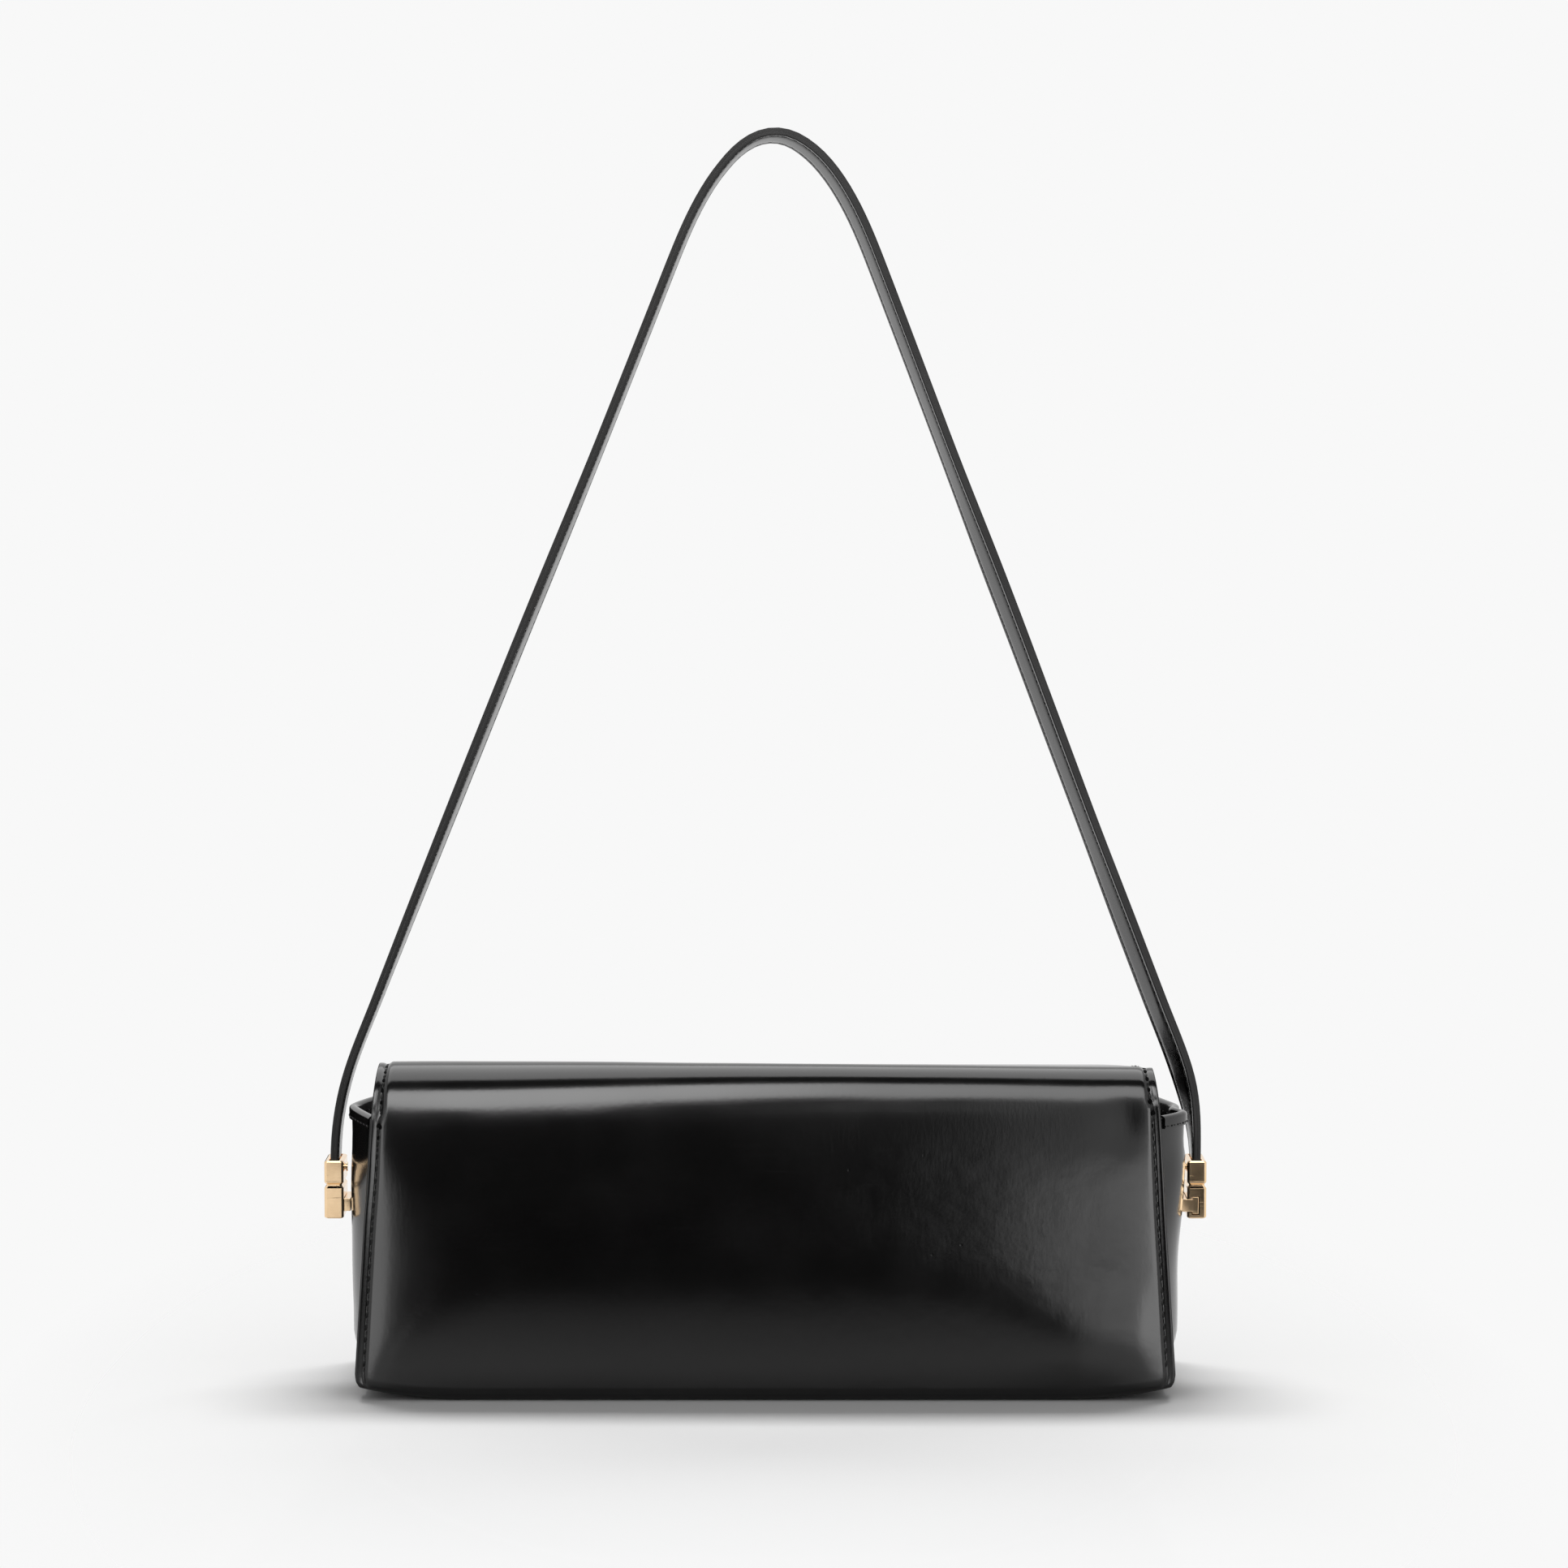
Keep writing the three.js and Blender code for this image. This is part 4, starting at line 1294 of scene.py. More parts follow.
    def build(self) -> list[Piece]:
        """Makes the leather, the flap's lining and core, and the stitches.

        Returns:
            The four pieces.
        """
        form, finishes = self.form, self.finishes
        grid, before_fold = self.outer_face()
        normals = grid_normals(grid)
        leather = sheet_piece("back_and_flap_leather", grid, form.leather, form.rim, finishes.skin)
        flap, ups = grid[:, before_fold + 2:], normals[:, before_fold + 2:]
        inset = self.edge_inset + self.more_inset * ramp(self.edge_distance(flap), *self.inset_run)
        lining = sheet_piece("flap_underside", flap - ups * inset[..., None], self.lining, self.lining_rim,
                             finishes.skin, (2, 1, 0))
        inner = (slice(12, -12), slice(8, -6))
        core = sheet_piece("flap_stiffener", flap[inner] - ups[inner] * (form.leather + self.core_gap), self.core,
                           self.lining_rim, [finishes.board], ALL_ONE)
        return [leather, lining, core, self.sew(grid, normals, before_fold)]

    @staticmethod
    def edge_distance(grid: Array) -> Array:
        """How far each point is from the sheet's side edges and its last row.

        Args:
            grid: points, columns first.

        Returns:
            The distances along the sheet.
        """
        across = np.linalg.norm(np.diff(grid, axis=0), axis=2)
        left = np.concatenate([np.zeros((1, grid.shape[1])), np.cumsum(across, axis=0)])
        along = np.linalg.norm(np.diff(grid, axis=1), axis=2)
        up = np.concatenate([np.zeros((grid.shape[0], 1)), np.cumsum(along, axis=1)], axis=1)
        return np.minimum(np.minimum(left, left[-1:] - left), up[:, -1:] - up)

    def sew(self, grid: Array, normals: Array, before_fold: int) -> Piece:
        """Makes the stitches along the side edges and round the flap.

        Args:
            grid: the outer face.
            normals: its normals.
            before_fold: the number of rows before the fold.

        Returns:
            The stitches.
        """
        left, last = self.form.seam_column, grid.shape[1] - 4
        right = grid.shape[0] - 1 - left
        path = [(left, j) for j in range(self.first_stitch, last)]
        path += [(i, last) for i in range(left, right + 1)]
        path += [(right, j) for j in range(last - 1, self.first_stitch - 1, -1)]
        at = tuple(np.array(path).T)
        thread = PieceMesh()
        thread.sew(grid[at], normals[at], self.stitches)
        rows = slice(before_fold - 5, before_fold + 1)
        for edge in (left, right):
            bar = grid[edge, rows] + (grid[edge, rows] - grid[edge - 1, rows]) * self.bar_out
            thread.sew(bar, normals[edge, rows], self.stitches)
        return thread.make("back_and_flap_stitches", self.finishes.sewing)

    def dress(self, pieces: Sequence[Piece]) -> None:
        """Bakes the placement of the leather, lining and stitches into their meshes, puts the core on the flap's body
        and hides the nodes that they stand for.

        Args:
            pieces: the leather, lining, core and stitches.
        """
        leather, lining, core, thread = pieces
        for piece, node in ((leather, "flap_leather"), (lining, "flap_lining"), (thread, None)):
            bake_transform(piece)
            label(piece, node)
        place([(core, Slot.BOARD, "flap_core")], Body.FLAP)


@dataclass
class FrontAndBase(BagPart):
    """The leather of the front and the base, the wadding and the facings at the mouth."""

    form: BagForm
    finishes: Finishes
    pad_out: float = 1.6
    pad: float = 0.8
    pad_low: float = 12.0
    pad_end: float = 14.0
    pad_rim: float = 0.3
    pad_down: float = 0.3
    facing: float = 2.1
    facing_low: float = 77.4
    facing_down: float = 0.4
    facing_end: float = 8.0
    facing_rim: float = 0.5
    split_gap: float = 0.3
    stitched_rows: tuple[int, int] = (1, 40)
    stitches: StitchRow = StitchRow()

    def outer_face(self) -> Array:
        """The outer face from the front's top edge down and under the base to the back.

        Returns:
            Its points, columns first.
        """
        form, lines = self.form, []
        radius, middle = form.edge_radius, form.edge_middle
        for z in np.linspace(form.mouth_height - form.rim, radius, 36)[:-1]:
            x = form.columns(form.half_width(z))
            lines.append(row_of(x, form.half_depth(z) + form.front_puff(x, z), z))
        for angle in EDGE_TURNS:
            z = radius * (1 - math.sin(angle))
            x = form.columns(form.half_width(z))
            puff = form.front_puff(x, z) * soft_step(z / radius)
            lines.append(row_of(x, middle + radius * math.cos(angle) + puff, z))
        x = form.columns(form.half_width(0))
        for y in np.linspace(middle, form.split_y + self.split_gap + 2 * form.rim, 18)[1:]:
            lines.append(row_of(x, y, 0.0))
        return form.settled(np.stack(lines, 1))

    def wall(self, sign: float, inset: float, heights: Span, end: float, puffed: bool = False) -> Array:
        """A grid against one wall of the bag.

        Args:
            sign: -1 for the back, 1 for the front.
            inset: distance below the outer face of the leather.
            heights: lowest and highest height.
            end: distance from the bag's ends.
            puffed: whether it follows the padded leather.

        Returns:
            Points with their normals out of the bag.
        """
        form, lines = self.form, []
        puff = form.back_puff if sign < 0 else form.front_puff
        for z in np.linspace(*heights, 22):
            width = form.half_width(z) - end
            x = np.linspace(-width, width, 61)
            rise = puff(x, z) if puffed else 0.0
            lines.append(row_of(x, sign * (form.half_depth(z) + rise - inset), z))
        grid = np.stack(lines, 1)
        return form.settled(grid if sign < 0 else grid[::-1])

    def build(self) -> list[Made]:
        """Makes the pieces.

        Returns:
            Each piece with its slot and the node that it stands for.
        """
        form, finishes = self.form, self.finishes
        grid = self.outer_face()
        leather = sheet_piece("front_and_base_leather", grid, form.leather, form.rim, finishes.skin)
        made: list[Made] = [(leather, Slot.LEATHER, "body_wrap"), (self.sew(grid), Slot.LEATHER, None)]
        for sign, word in ((-1.0, "back"), (1.0, "front")):
            heights = (self.pad_low, self.facing_low - self.pad_down)
            puffed = self.wall(sign, self.pad_out, heights, self.pad_end, True)
            flat = self.wall(sign, self.pad_out + self.pad, heights, self.pad_end)
            wadding = sheet_piece(f"{word}_wadding", puffed, np.abs(puffed[..., 1] - flat[..., 1]), self.pad_rim,
                                  [finishes.wadding], ALL_ONE)
            strip = self.wall(sign, self.pad_out, (self.facing_low, form.mouth_height - self.facing_down),
                              self.facing_end)
            band = sheet_piece(f"{word}_mouth_band", strip, self.facing, self.facing_rim,
                               [finishes.leather, finishes.edge], (0, 1, 0))
            made += [(wadding, Slot.WADDING, f"{word}_padding"), (band, Slot.LEATHER, f"mouth_facing_{word}")]
        return made

    def sew(self, grid: Array) -> Piece:
        """Makes the stitches along the side edges and the top.

        Args:
            grid: the outer face.

        Returns:
            The stitches.
        """
        normals, left, rows = grid_normals(grid), self.form.seam_column, slice(*self.stitched_rows)
        thread = PieceMesh()
        for edge in (left, grid.shape[0] - 1 - left):
            thread.sew(grid[edge, rows], normals[edge, rows], self.stitches)
        heights = grid[len(grid) // 2, :30, 2]
        top = int(np.argmin(np.abs(heights - (self.form.mouth_height - self.form.margin))))
        span = slice(left, grid.shape[0] - left)
        thread.sew(grid[span, top], normals[span, top], self.stitches)
        return thread.make("front_stitches", self.finishes.sewing)


# How much further the tip stands out high up, how round the back half is there and where the tip lies.
GUSSET_SHAPES = {Side.LEFT: (0.7, 0.0, 0.0), Side.RIGHT: (2.4, 0.6, -10.0)}


@dataclass
class Gusset(BagPart):
    """One bulging end of the bag with its bound top edge."""

    form: BagForm
    finishes: Finishes
    side: Side
    tip: float
    tip_out: float
    near_round: float
    apex: float
    leather: float = 1.2
    rim: float = 0.25
    seat: float = 1.6
    flange: float = 5.0
    full_height: float = 16.0
    tip_flat: float = 5.0
    edge_in: float = 0.3
    root_share: float = 0.85
    bulge_power: float = 0.9
    straight: float = 0.8
    rounded: float = 0.2
    root_run: Span = (58, 22)
    tip_run: Span = (30, 50)
    flat_run: Span = (68, 14)
    apex_run: Span = (40, 40)
    high_run: Span = (62, 20)
    wave: float = 0.25
    wave_run: Span = (8, 20)
    wave_stretch: float = 1.4
    wave_shift: float = 11.0
    wave_beyond: float = 2.0
    wave_steep: float = 3.2
    wave_fade: float = 60.0
    low_heights: tuple[float, ...] = (2.0, 2.8, 3.8, 5, 6.5, 8.2, 10, 12, 14.5)
    high_from: float = 17.5
    points: int = 31
    lip_points: int = 6
    binding_height: float = 3.3
    binding_half: float = 1.5
    binding_rise: float = 0.9
    binding_start: float = 0.4
    binding_gap: float = 0.15
    crown_share: float = 0.8
    row_up: float = 0.75
    stitches: StitchRow = StitchRow(pitch=3.4, length=2.6, thread=0.55, hole=0.9)

    def plan(self, z: float) -> Array:
        """The outside line of the gusset at a height, for the right end.

        Args:
            z: height.

        Returns:
            Points from the back flange to the front flange.
        """
        form = self.form
        edge = form.half_width(z) - self.edge_in
        root = edge - self.flange * (1 - self.root_share * ramp(z, *self.root_run))
        depth = form.inside_depth(z, self.seat + self.leather)
        tip = self.tip + self.tip_out * ramp(z, *self.tip_run)
        tip = root + self.leather + (tip - root - self.leather) * ease(z / self.full_height)
        flat = min(self.tip_flat + (1.0 - self.tip_flat) * ramp(z, *self.flat_run), depth / 3)
        y = np.linspace(-depth, depth, self.points)
        apex = self.apex * ramp(z, *self.apex_run)
        span = np.where(y < apex, depth + apex, depth - apex) - flat
        share = np.clip((depth - np.abs(y)) / span, 0, 1)
        high = ramp(z, *self.high_run) * np.where(y < apex, 1 - self.near_round, 1.0)
        bulge = (1 - high) * ease(share) ** self.bulge_power
        bulge = bulge + high * (self.straight * share + self.rounded * ease(share))
        lip = np.stack([np.linspace(edge, root, self.lip_points + 1)[:-1], np.full(self.lip_points, -depth)], -1)
        body = np.stack([root + (tip - root) * bulge, y], -1)
        return smoothed(np.concatenate([lip, body, lip[::-1] * [1, -1]]), 0, 3)

    def outer_face(self) -> Array:
        """The outer face of the right gusset.

        Returns:
            Points, from the back to the front first and upwards second.
        """
        form = self.form
        lines = []
        for z in np.concatenate([self.low_heights, np.linspace(self.high_from, form.mouth_height, 26)]):
            x, y = self.plan(z).T
            lines.append(row_of(x, y, z))
        grid = np.stack(lines, 1)
        shift = self.wave_shift * self.side.value
        wave = self.wave * unevenness(grid[..., 1] * self.wave_stretch + shift, grid[..., 2])
        reach = form.base_half_width + self.wave_beyond
        inside = soft_step((reach - np.abs(grid[..., 1]) * self.wave_steep) / self.wave_fade)
        grid[..., 0] += wave * inside * ramp(grid[..., 2], *self.wave_run)
        return form.settled(grid)

    def turned(self, grid: Array) -> Array:
        """The grid at this gusset's end of the bag."""
        return grid * np.array([self.side.value, 1.0, 1.0])

    def build(self) -> list[Made]:
        """Makes the gusset, its binding and the binding's stitches.

        Returns:
            Each piece with its slot and the node that it stands for.
        """
        finishes, word = self.finishes, self.side.word
        grid = self.outer_face()
        leather = sheet_piece(f"gusset_{word}_leather", self.turned(grid), self.leather, self.rim, finishes.skin,
                              mirrored=self.side is Side.LEFT)
        line = grid[self.lip_points:-self.lip_points, -1, :2]
        reach = np.abs(line[:, 1])
        line = line[reach < reach.max() - self.binding_start]
        tangent = unit(np.gradient(line, axis=0))
        out = np.stack([tangent[:, 1], -tangent[:, 0]], -1)
        middle = line - out * self.leather / 2
        binding = self.bind(middle, out)
        thread = PieceMesh()
        height = self.form.mouth_height - self.binding_height + self.row_up
        for sign in (1.0, -1.0):
            face = middle + out * sign * self.binding_half
            points = self.turned(row_of(*face.T, height))
            thread.sew(points, self.turned(row_of(*(out * sign).T, 0.0)), self.stitches)
        rows = thread.make(f"gusset_{word}_stitches", finishes.sewing)
        return [(leather, Slot.LEATHER, f"gusset_{word}"), (binding, Slot.LEATHER, f"gusset_binding_{word}"),
                (rows, Slot.LEATHER, None)]

    def bind(self, middle: Array, out: Array) -> Piece:
        """Makes the strip that is folded over the gusset's top edge.

        Args:
            middle: the middle line of the gusset's leather.
            out: its normals in plan.

        Returns:
            The binding.
        """
        gap, half = self.binding_gap, self.binding_half
        top, slot, round_up = self.form.mouth_height, self.leather / 2 + gap, half * self.crown_share
        low, crown = top - self.binding_height, top + self.binding_rise
        outer = [(half * math.cos(a), crown - round_up + round_up * math.sin(a))
                 for a in np.radians(np.linspace(0, 180, 9))]
        profile = [(half, low), *outer, (-half, low), (-slot, low), (-slot, top + gap), (slot, top + gap), (slot, low)]
        rings = np.array([[(*(point + normal * across), height) for across, height in profile]
                          for point, normal in zip(middle, out)])
        if self.side is Side.LEFT:
            rings = rings[:, ::-1]
        mesh = PieceMesh()
        mesh.add_sweep(self.turned(rings)[::-1], [0] * len(profile))
        return mesh.make(f"gusset_{self.side.word}_binding", [self.finishes.leather], SHARP_CUT)


@dataclass
class Lining(BagPart):
    """The cloth inside the bag."""

    form: BagForm
    finishes: Finishes
    tip: float
    outside: float = 4.2
    cloth: float = 0.7
    rim: float = 0.15
    top_down: float = 0.6
    end: float = 8.0
    end_gap: float = 0.3
    end_points: int = 25
    pocket_width: float = 150.0
    pocket_low: float = 18.0
    pocket_high: float = 68.0
    pocket_depth: float = 5.25
    pocket_cloth: float = 0.6
    pocket_rim: float = 0.2
    pocket_sag: float = 0.25
    sag_run: Span = (50, 16)
    ripple: float = 0.12
    ripple_share: float = 0.8
    ripple_across: float = 1.7
    ripple_up: float = 1.3
    low_heights: tuple[float, ...] = (5.3, 6.2, 7.6, 9.5, 12)
    high_from: float = 15.0
    end_share: float = 0.7
    full_height: float = 16.0

    def wrap(self) -> Array:
        """The lining of front, base and back, seen from outside the cloth.

        Returns:
            Points, across first and from the back's top over the base to the front's top second.
        """
        form = self.form
        base, radius = form.base_radius, form.base_radius - self.outside
        middle = form.half_depth(base) - base
        half = [(-(form.half_depth(z) - self.outside), z)
                for z in np.linspace(form.mouth_height - self.top_down, base, 20)]
        for angle in np.radians(np.linspace(0, 90, 7))[1:]:
            half.append((-(middle + radius * math.cos(angle)), base - radius * math.sin(angle)))
        line = half + [(y, self.outside) for y in np.linspace(-middle, middle, 9)[1:-1]]
        line += [(-y, z) for y, z in half[::-1]]
        rows = []
        for y, z in line:
            x = np.linspace(-1, 1, 49) * (form.half_width(z) - self.end)
            ripple = self.ripple * unevenness(x * self.ripple_across, z * self.ripple_up + y)
            rows.append(row_of(x, y - np.sign(y) * abs(self.ripple + ripple * self.ripple_share), z))
        return form.settled(np.stack(rows, 1))

    def end_line(self, z: float) -> Array:
        """Plan of the right lining end at a height.

        Args:
            z: height.

        Returns:
            Points from the back to the front.
        """
        form = self.form
        root = form.half_width(z) - self.end - self.cloth - self.end_gap
        depth = form.inside_depth(z, self.outside + self.cloth + self.end_gap)
        reach = ease((z - self.outside) / self.full_height)
        tip = root + self.cloth + (self.tip - root - self.cloth) * reach
        y = np.linspace(-depth, depth, self.end_points)
        share = np.clip((depth - np.abs(y)) / (depth * self.end_share), 0, 1)
        return row_of(root + (tip - root) * ease(share), y, z)

    def pocket(self) -> Array:
        """The slip pocket's front.

        Returns:
            Points, across first and upwards second.
        """
        x, rows = np.linspace(-self.pocket_width / 2, self.pocket_width / 2, 41), []
        for z in np.linspace(self.pocket_low, self.pocket_high, 18):
            sag = self.pocket_sag * ramp(z, *self.sag_run) * np.cos(x / self.pocket_width * math.pi)
            rows.append(row_of(x, -(self.form.half_depth(z) - self.pocket_depth - sag), z))
        return np.stack(rows, 1)

    def build(self) -> list[Made]:
        """Returns:
            Each piece with its slot and the node that it stands for.
        """
        form, cloth = self.form, [self.finishes.cloth]
        main = sheet_piece("lining_main", self.wrap(), self.cloth, self.rim, cloth, ALL_ONE)
        made: list[Made] = [(main, Slot.CLOTH, "lining_wrap")]
        high = np.linspace(self.high_from, form.mouth_height - self.top_down, 18)
        heights = np.concatenate([self.low_heights, high])
        end = form.settled(np.stack([self.end_line(z) for z in heights], 1))
        for side in Side:
            piece = sheet_piece(f"lining_{side.word}", end * [side.value, 1, 1], self.cloth, self.rim, cloth, ALL_ONE,
                                side is Side.LEFT)
            made.append((piece, Slot.CLOTH, f"lining_end_{side.word}"))
        piece = sheet_piece("lining_pocket", self.pocket(), self.pocket_cloth, self.pocket_rim, cloth, ALL_ONE)
        return [*made, (piece, Slot.CLOTH, "slip_pocket")]


@dataclass
class Strap:
    """The two bonded leather layers of the strap and their stitches."""

    finishes: Finishes
    cap_x: float
    socket_floor: float
    crown_height: float = 402.7
    lean_degrees: float = 21.35
    bend_height: float = 91.2
    bend_in: float = 16.8
    bend_out: float = 25.0
    crown_drop: float = 37.0
    crown_reach: float = 0.75
    socket_gap: float = 0.4
    width: float = 14.0
    thickness: float = 2.8
    edge_round: float = 0.45
    row_inset: float = 2.0
    row_depth: float = 0.28
    row_slope: float = 0.5
    row_places: tuple[float, ...] = (-1.1, -0.55, 0.0, 0.55, 1.1)
    flat_places: tuple[float, ...] = (-2.4, 0.0, 2.4)
    face_rise: float = 0.1
    face_in: float = 0.08
    edge_in: float = 0.1
    seam_in: float = 0.08
    row_lift: float = 0.2
    seam: float = 0.03
    crown_drift: float = 2.9
    drift_run: float = 300.0
    pinches: tuple[Point, ...] = ((0.6, 95, 30), (0.5, 230, 80))
    middle_run: float = 14.0
    to_right: Span = (-12, 30)
    twist_run: Span = (79, 17)
    twist_heights: tuple[float, ...] = (100, 127, 150, 180, 205, 265, 298, 390)
    twist_right: tuple[float, ...] = (22, 21.5, 21.5, 18, 18.5, 19, 14.3, 14.3)
    twist_left: tuple[float, ...] = (2.5, 3.3, 4.8, 6.2, 7, 7, 5, 4.5)
    stitched_from: float = 73.0
    stitches: StitchRow = StitchRow(pitch=3.7, length=2.8, thread=0.6, rise=-0.12, sink=0.3, hole=1.1)

    def __post_init__(self) -> None:
        """Works out the directions of the leaning runs."""
        self.lean = math.radians(self.lean_degrees)
        self.run = np.array([math.sin(self.lean), math.cos(self.lean)])
        self.meet = self.bend_height + self.cap_x / math.tan(self.lean)

    def inside(self, z: Numbers) -> Array:
        """How far from the middle the inner face of a run stands at a height."""
        return (self.meet - np.asarray(z)) * math.tan(self.lean) - self.thickness / 2 / self.run[1]

    def route(self) -> Array:
        """The strap's middle line from the right cap over the crown to the left cap.

        Returns:
            Even points across the width and up.
        """
        x, h, run = self.cap_x, self.bend_height, self.run
        t = np.linspace(0, 1, 24)[:, None]
        first, turn = np.array([x, h - self.bend_in]), np.array([x, h])
        last = np.array([x - self.bend_out * run[0], h + self.bend_out * run[1]])
        bend = (1 - t) ** 2 * first + 2 * t * (1 - t) * turn + t**2 * last
        start = self.crown_height - self.crown_drop
        right = np.array([(self.meet - start) * math.tan(self.lean), start])
        upper = right + self.crown_drop / self.crown_reach / run[1] * np.array([-run[0], run[1]])
        flip = np.array([-1.0, 1.0])
        t = np.linspace(0, 1, 60)[:, None]
        crown = ((1 - t) ** 3 * right + 3 * t * (1 - t) ** 2 * upper + 3 * t**2 * (1 - t) * upper * flip
                 + t**3 * right * flip)
        half = np.concatenate([[[x, self.socket_floor + self.socket_gap]], bend, crown[:30]])
        line = np.concatenate([half, (half * flip)[::-1]])
        steps = lengths_along(line)
        return resampled(line, steps, np.linspace(0, steps[-1], 230))

    def frames(self) -> tuple[Array, Array, Array]:
        """Middle points, widths and outward directions along the strap.

        Returns:
            Three lists of vectors.
        """
        line = smoothed(self.route(), 0, 6)
        height = line[:, 1]
        line[:, 0] += self.crown_drift * ramp(height, self.bend_height, self.drift_run)
        pinch = sum(size * ramp(height, start, run) for size, start, run in self.pinches)
        line[:, 0] -= pinch * np.clip(line[:, 0] / self.middle_run, -1, 1)
        tangent = unit(np.gradient(line, axis=0))
        right = ramp(line[:, 0], *self.to_right)
        on_right, on_left = (np.interp(height, self.twist_heights, twist)
                             for twist in (self.twist_right, self.twist_left))
        twist = -ramp(height, *self.twist_run) * (right * on_right + (1 - right) * on_left)
        angle = np.radians(smoothed(twist[:, None], 0, 12))
        plain_out = row_of(tangent[:, 1], 0.0, -tangent[:, 0])
        plain_width = np.array([0.0, 1.0, 0.0])
        width = plain_width * np.cos(angle) + plain_out * np.sin(angle)
        outward = plain_out * np.cos(angle) - plain_width * np.sin(angle)
        return row_of(line[:, 0], 0.0, height), width, outward

    def layer(self, sign: float) -> Array:
        """Outline of one layer's section, starting at its back edge.

        Args:
            sign: 1 for the outer layer, -1 for the inner one.

        Returns:
            Places across the width and through the thickness.
        """
        half, face, curve = self.width / 2, self.thickness / 2, self.edge_round
        row = half - self.row_inset
        one = row + np.array(self.row_places)
        across = np.concatenate([[-half + curve], -one[::-1], self.flat_places, one, [half - curve]])
        beyond = np.clip((np.abs(across) - row) / (half - row), 0, 1)
        slope = self.row_depth * bell((row - np.abs(across)) / self.row_slope)
        sunk = np.where(np.abs(across) < row, slope, self.row_depth * (1 - beyond))
        crowned = self.face_rise * np.clip(1 - (across / row) ** 2, 0, 1)
        right = [(half - curve + curve * math.sin(a), face - curve + curve * math.cos(a) - self.edge_in)
                 for a in np.radians([30, 60, 90])]
        left = [(-x, z) for x, z in right[::-1]]
        top = zip(across, face - sunk + crowned - self.face_in)
        outer = half - self.seam_in
        outline = [(-outer, self.seam), *left, *top, *right, (outer, self.seam)]
        return np.array([(a, sign * b) for a, b in outline])

    def build(self) -> list[Made]:
        """Makes both layers and the stitches.

        Returns:
            Each piece with its slot and the node that it stands for.
        """
        middle, width, outward = self.frames()
        finishes, made = self.finishes, []
        for sign, word in ((1.0, "outer"), (-1.0, "inner")):
            section = self.layer(sign)
            rings = middle[:, None] + width[:, None] * section[None, :, :1] + outward[:, None] * section[None, :, 1:]
            kinds = [1] * 4 + [0] * (len(section) - 9) + [1] * 4 + [2]
            mesh = PieceMesh()
            mesh.add_sweep(rings if sign < 0 else rings[::-1], kinds)
            layer = mesh.make(f"strap_{word}_leather", [finishes.strap, finishes.edge, finishes.suede], SHARP_CUT)
            made.append((layer, Slot.STRAP, f"strap_{word}"))
        thread = PieceMesh()
        shown = middle[:, 2] > self.stitched_from
        for sign in (1.0, -1.0):
            for edge in (-1.0, 1.0):
                lift = sign * (self.thickness / 2 - self.row_lift)
                line = middle + width * edge * (self.width / 2 - self.row_inset) + outward * lift
                thread.sew(line[shown], sign * outward[shown], self.stitches)
        return [*made, (thread.make("strap_stitches", finishes.sewing), Slot.STRAP, None)]

    def dress(self, made: Sequence[Made]) -> None:
        """Puts the strap on its body and keeps it out of the reflections.

        Args:
            made: each piece with its slot and its node.
        """
        place(made, Body.STRAP)
        for piece, _, _ in made:
            piece.visible_glossy = False


@dataclass
class Fittings:
    """Hard parts that the frame already shapes: they get softened edges and a finish."""

    finishes: Finishes
    edge: float = 0.16
    screw_edge: float = 0.1
    join: float = 1e-6
    flat_angle: float = 1.0
    edge_angle: float = 28.0

    def soften(self, piece: Piece, width: float) -> None:
        """Breaks a hard part's edges.

        Args:
            piece: the part.
            width: how wide the broken edge is, in millimetres.
        """
        piece.modifiers.new("join", "WELD").merge_threshold = self.join
        flat = piece.modifiers.new("flat", "DECIMATE")
        flat.decimate_type, flat.angle_limit = "DISSOLVE", math.radians(self.flat_angle)
        bevel = piece.modifiers.new("edge", "BEVEL")
        bevel.width, bevel.segments, bevel.limit_method = width * MM, 2, "ANGLE"
        bevel.angle_limit = math.radians(self.edge_angle)
        even = piece.modifiers.new("even", "WEIGHTED_NORMAL")
        even.mode, even.weight = "FACE_AREA", 90
        for face in piece.data.polygons:
            face.use_smooth = True

    def dress(self) -> None:
        """Finishes the fittings and the hidden stiffeners."""
        gold, steel = (self.finishes.gold, Slot.GOLD), (self.finishes.steel, Slot.STEEL)
        widths = {"end_cap": self.edge, "t_bar": self.edge, "strap_screw": self.screw_edge}
        for name in (*widths, "post_washer", "anchor_plate", "front_magnet", "flap_magnet"):
            for side in Side:
                self.finish(f"{name}_{side.word}", *(gold if name in widths else steel), widths.get(name, 0.0))
        for name in ("back_board", "front_board", "base_board"):
            self.finish(name, self.finishes.board, Slot.BOARD, 0.0)

    def finish(self, name: str, material: Material, slot: Slot, width: float) -> None:
        """Gives one frame node its material.

        Args:
            name: the node.
            material: its material.
            slot: not used.
            width: width of its broken edges, or zero.
        """
        piece = frame["nodes"][name]
        piece.data.materials.clear()
        piece.data.materials.append(material)
        if width:
            self.soften(piece, width)
        log.info("%s: finished in %s", name, material.name)


# The studio


def flat_piece(name: str, corners: Sequence[Point], material: Material) -> Piece:
    """Makes one flat face.

    Args:
        name: the object's name.
        corners: its corners, in metres.
        material: its material.

    Returns:
        The object, in the scene.
    """
    mesh = bpy.data.meshes.new(name)
    mesh.from_pydata(list(corners), [], [tuple(range(len(corners)))])
    mesh.materials.append(material)
    return link(bpy.data.objects.new(name, mesh))


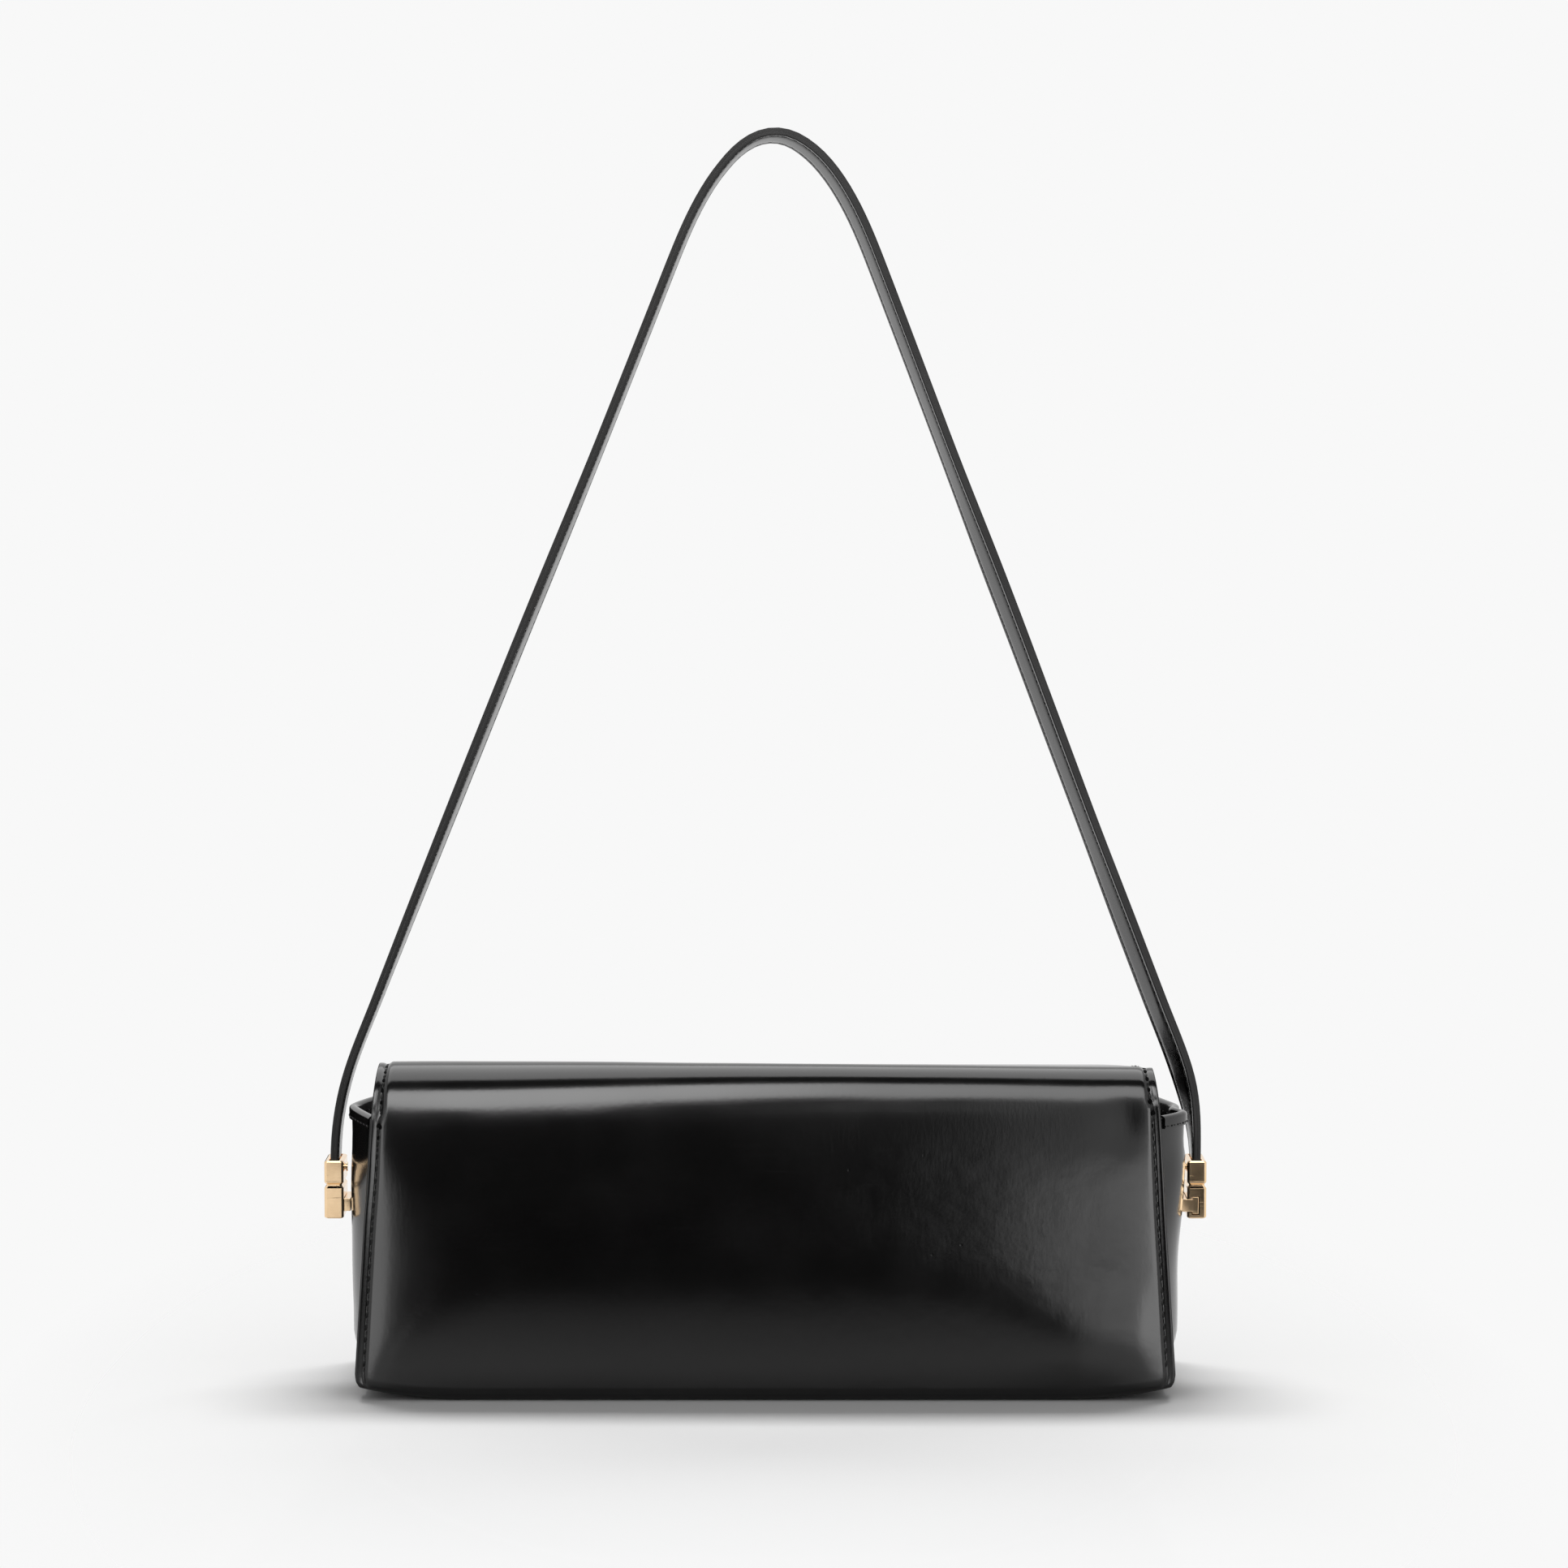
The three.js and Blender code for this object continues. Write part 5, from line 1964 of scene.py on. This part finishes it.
@dataclass(frozen=True)
class Softbox:
    """A soft lamp that looks at the bag."""

    name: str
    place: Point
    size: Span
    brightness: float
    aim: Point = (0.0, 0.0, 0.06)
    diffuse: bool = False
    glossy: bool = True

    def hang(self) -> None:
        """Makes the lamp."""
        lamp = bpy.data.lights.new(self.name, "AREA")
        lamp.shape, lamp.size, lamp.size_y = "RECTANGLE", self.size[0], self.size[1]
        lamp.energy = self.brightness * math.pi * self.size[0] * self.size[1]
        holder = link(bpy.data.objects.new(self.name, lamp))
        holder.location = self.place
        holder.rotation_euler = (Vector(self.aim) - Vector(self.place)).to_track_quat("-Z", "Y").to_euler()
        holder.visible_diffuse, holder.visible_glossy = self.diffuse, self.glossy


@dataclass(frozen=True)
class Flag:
    """A dark studio card that only shows in reflections, and may fade in along the depth."""

    name: str
    corners: tuple[Point, ...]
    fade: Span | None = None
    colour: Colour = (0.01, 0.01, 0.01)

    def stand(self) -> None:
        """Makes the card."""
        surface = Surface(self.name)
        surface.set(Base_Color=rgba(self.colour), Roughness=1.0, Specular_IOR_Level=0.0)
        if self.fade:
            surface.set(Alpha=surface.nodes.between(surface.nodes.split(surface.at)["Y"], *self.fade))
        card = flat_piece(self.name, self.corners, surface.material)
        card.visible_camera = card.visible_diffuse = card.visible_shadow = False


FLAGS = (
    Flag("card_ahead", ((-0.85, -2.6, -0.3), (0.25, -2.6, -0.3), (0.25, -2.6, 1.45), (-0.85, -2.6, 1.45))),
    Flag("card_low", ((-0.12, -0.04, 0.002), (0.1, -0.04, 0.002), (0.12, -0.3, 0.002), (0.14, -0.5, 0.002),
                      (0.25, -2.6, 0.002), (-0.9, -2.6, 0.002), (-0.42, -0.75, 0.002), (-0.172, -0.49, 0.002),
                      (-0.164, -0.4, 0.002)), (-0.03, -0.24)),
    Flag("card_cap", ((0.156, -0.3, 0.002), (0.156, -0.52, 0.002), (0.22, -0.52, 0.002), (0.22, -0.3, 0.002))),
    Flag("card_left", ((-0.155, 0.12, 0.03), (-0.155, 0.12, 0.1), (-0.5, 0.12, 0.1), (-0.5, 0.12, 0.03))),
    Flag("card_above", ((-0.9, -0.76, 1.1), (0.9, -0.76, 1.1), (0.9, -0.2, 1.13), (-0.9, -0.2, 1.13))),
)
LAMPS = (
    Softbox("key_box", (0.0, 0.35, 1.18), (1.0, 0.25), 18.0, diffuse=True, glossy=False),
    Softbox("front_left", (-0.35, -0.99, 0.951), (0.7, 0.66), 6.2, (-0.35, 0.0, 0.06)),
    Softbox("front_right", (0.35, -0.99, 0.951), (0.7, 0.66), 3.6, (0.35, 0.0, 0.06)),
    Softbox("top_box", (0.0, 0.545, 1.19), (1.6, 1.51), 2.0, (0.0, 0.545, 0.0)),
    Softbox("left_box", (-1.1, -1.3, 0.15), (0.9, 1.1), 1.9),
    Softbox("right_box", (1.15, -1.55, 0.15), (0.9, 1.1), 3.2),
    Softbox("right_near", (0.53, -1.81, -0.05), (0.48, 0.32), 1.5),
)


@dataclass
class Studio:
    """Camera, floor, cards and lamps."""

    backdrop: float = 0.939
    ambient: float = 0.35
    floor_colour: float = 0.75
    # The floor is painted paler towards the front: painted fill light, where the key lamp behind the bag lights it
    # less.
    floor_front_painted_fill: float = 0.95
    floor_roughness: float = 0.9
    floor_shine: float = 0.1
    floor_reach: float = 1.6
    painted_fill_span: Span = (0.04, -0.26)
    floor_oval: Point = (4.4, 2.2, 1.0)
    floor_fade: Span = (0.6, 1.1)
    camera_place: Point = (0.006, -1.696, 0.337)
    camera_pitch: float = 0.08396
    camera_lens: float = 121.33
    camera_sensor: float = 36.0

    def build(self) -> None:
        """Sets up everything round the bag."""
        self.set_camera()
        self.set_world()
        self.lay_floor()
        for flag in FLAGS:
            flag.stand()
        for lamp in LAMPS:
            lamp.hang()
        bpy.context.scene.view_settings.view_transform = "Standard"

    def set_camera(self) -> None:
        """Makes the camera at the photograph's place."""
        data = bpy.data.cameras.new("camera")
        data.lens, data.sensor_width = self.camera_lens, self.camera_sensor
        holder = link(bpy.data.objects.new("camera", data))
        holder.location = self.camera_place
        holder.rotation_euler = (math.pi / 2 - self.camera_pitch, 0.0, 0.0)
        bpy.context.scene.camera = holder

    def set_world(self) -> None:
        """Makes a pale backdrop that lights the bag gently."""
        world = bpy.data.worlds.new("studio")
        bpy.context.scene.world = world
        world.use_nodes = True
        nodes = NodeSheet(world.node_tree)
        path = nodes.node("LightPath").outputs
        seen = nodes.maths("MAXIMUM", path["Is Camera Ray"], path["Is Glossy Ray"])
        seen = nodes.maths("MAXIMUM", seen, path["Is Transmission Ray"])
        background = world.node_tree.nodes["Background"].inputs
        nodes.feed(background["Color"], rgba((1.0, 1.0, 1.0)))
        nodes.feed(background["Strength"], nodes.between(seen, 0.0, 1.0, self.ambient, self.backdrop))

    def lay_floor(self) -> None:
        """Lays a pale floor that fades into the backdrop, painted paler towards the front as painted fill light where
        the lamps light it less.
        """
        surface = Surface("pale_floor")
        nodes, at = surface.nodes, surface.at
        # Painted light: the floor's colour grows paler towards the front, standing in for the light that the lamps
        # give less of there.
        painted_fill_share = nodes.between(nodes.split(at)["Y"], *self.painted_fill_span)
        pale, painted_fill_colour = rgba((self.floor_colour,) * 3), rgba((self.floor_front_painted_fill,) * 3)
        oval = nodes.node("VectorMath", {0: at, 1: self.floor_oval}, operation="MULTIPLY").outputs[0]
        away = nodes.node("VectorMath", {0: oval}, operation="LENGTH").outputs["Value"]
        surface.set(Base_Color=nodes.blend(painted_fill_share, pale, painted_fill_colour), Roughness=self.floor_roughness,
                    Specular_IOR_Level=self.floor_shine, Alpha=nodes.between(away, *self.floor_fade, 1.0, 0.0))
        reach = self.floor_reach
        corners = ((-reach, -reach, 0), (reach, -reach, 0), (reach, reach, 0), (-reach, reach, 0))
        flat_piece("floor", corners, surface.material)


LEATHER_BEYOND_CAD = 1.0


def main() -> None:
    """Builds the studio and the bag, piece by piece."""
    logging.basicConfig(level=logging.INFO, format="%(name)s: %(message)s")
    Studio().build()
    finishes = Finishes()
    form = BagForm(base_half_width=node_box("body_wrap")[1][0] + LEATHER_BEYOND_CAD)
    gusset_tip, lining_tip = (node_box(name)[1][0] for name in ("gusset_right", "lining_end_right"))
    cap_x = node_box("end_cap_right")[:, 0].sum() / 2
    strap = Strap(finishes, cap_x, socket_floor=node_box("strap_outer")[0][2])
    back = BackAndFlap(form, finishes, strap.inside, joint_point("flap_hinge"))
    gussets = (Gusset(form, finishes, side, gusset_tip, *GUSSET_SHAPES[side]) for side in Side)
    for part in (strap, back, FrontAndBase(form, finishes), *gussets, Lining(form, finishes, lining_tip)):
        part.dress(part.build())
    Fittings(finishes).dress()
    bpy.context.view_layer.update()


if __name__ == "__main__":
    main()
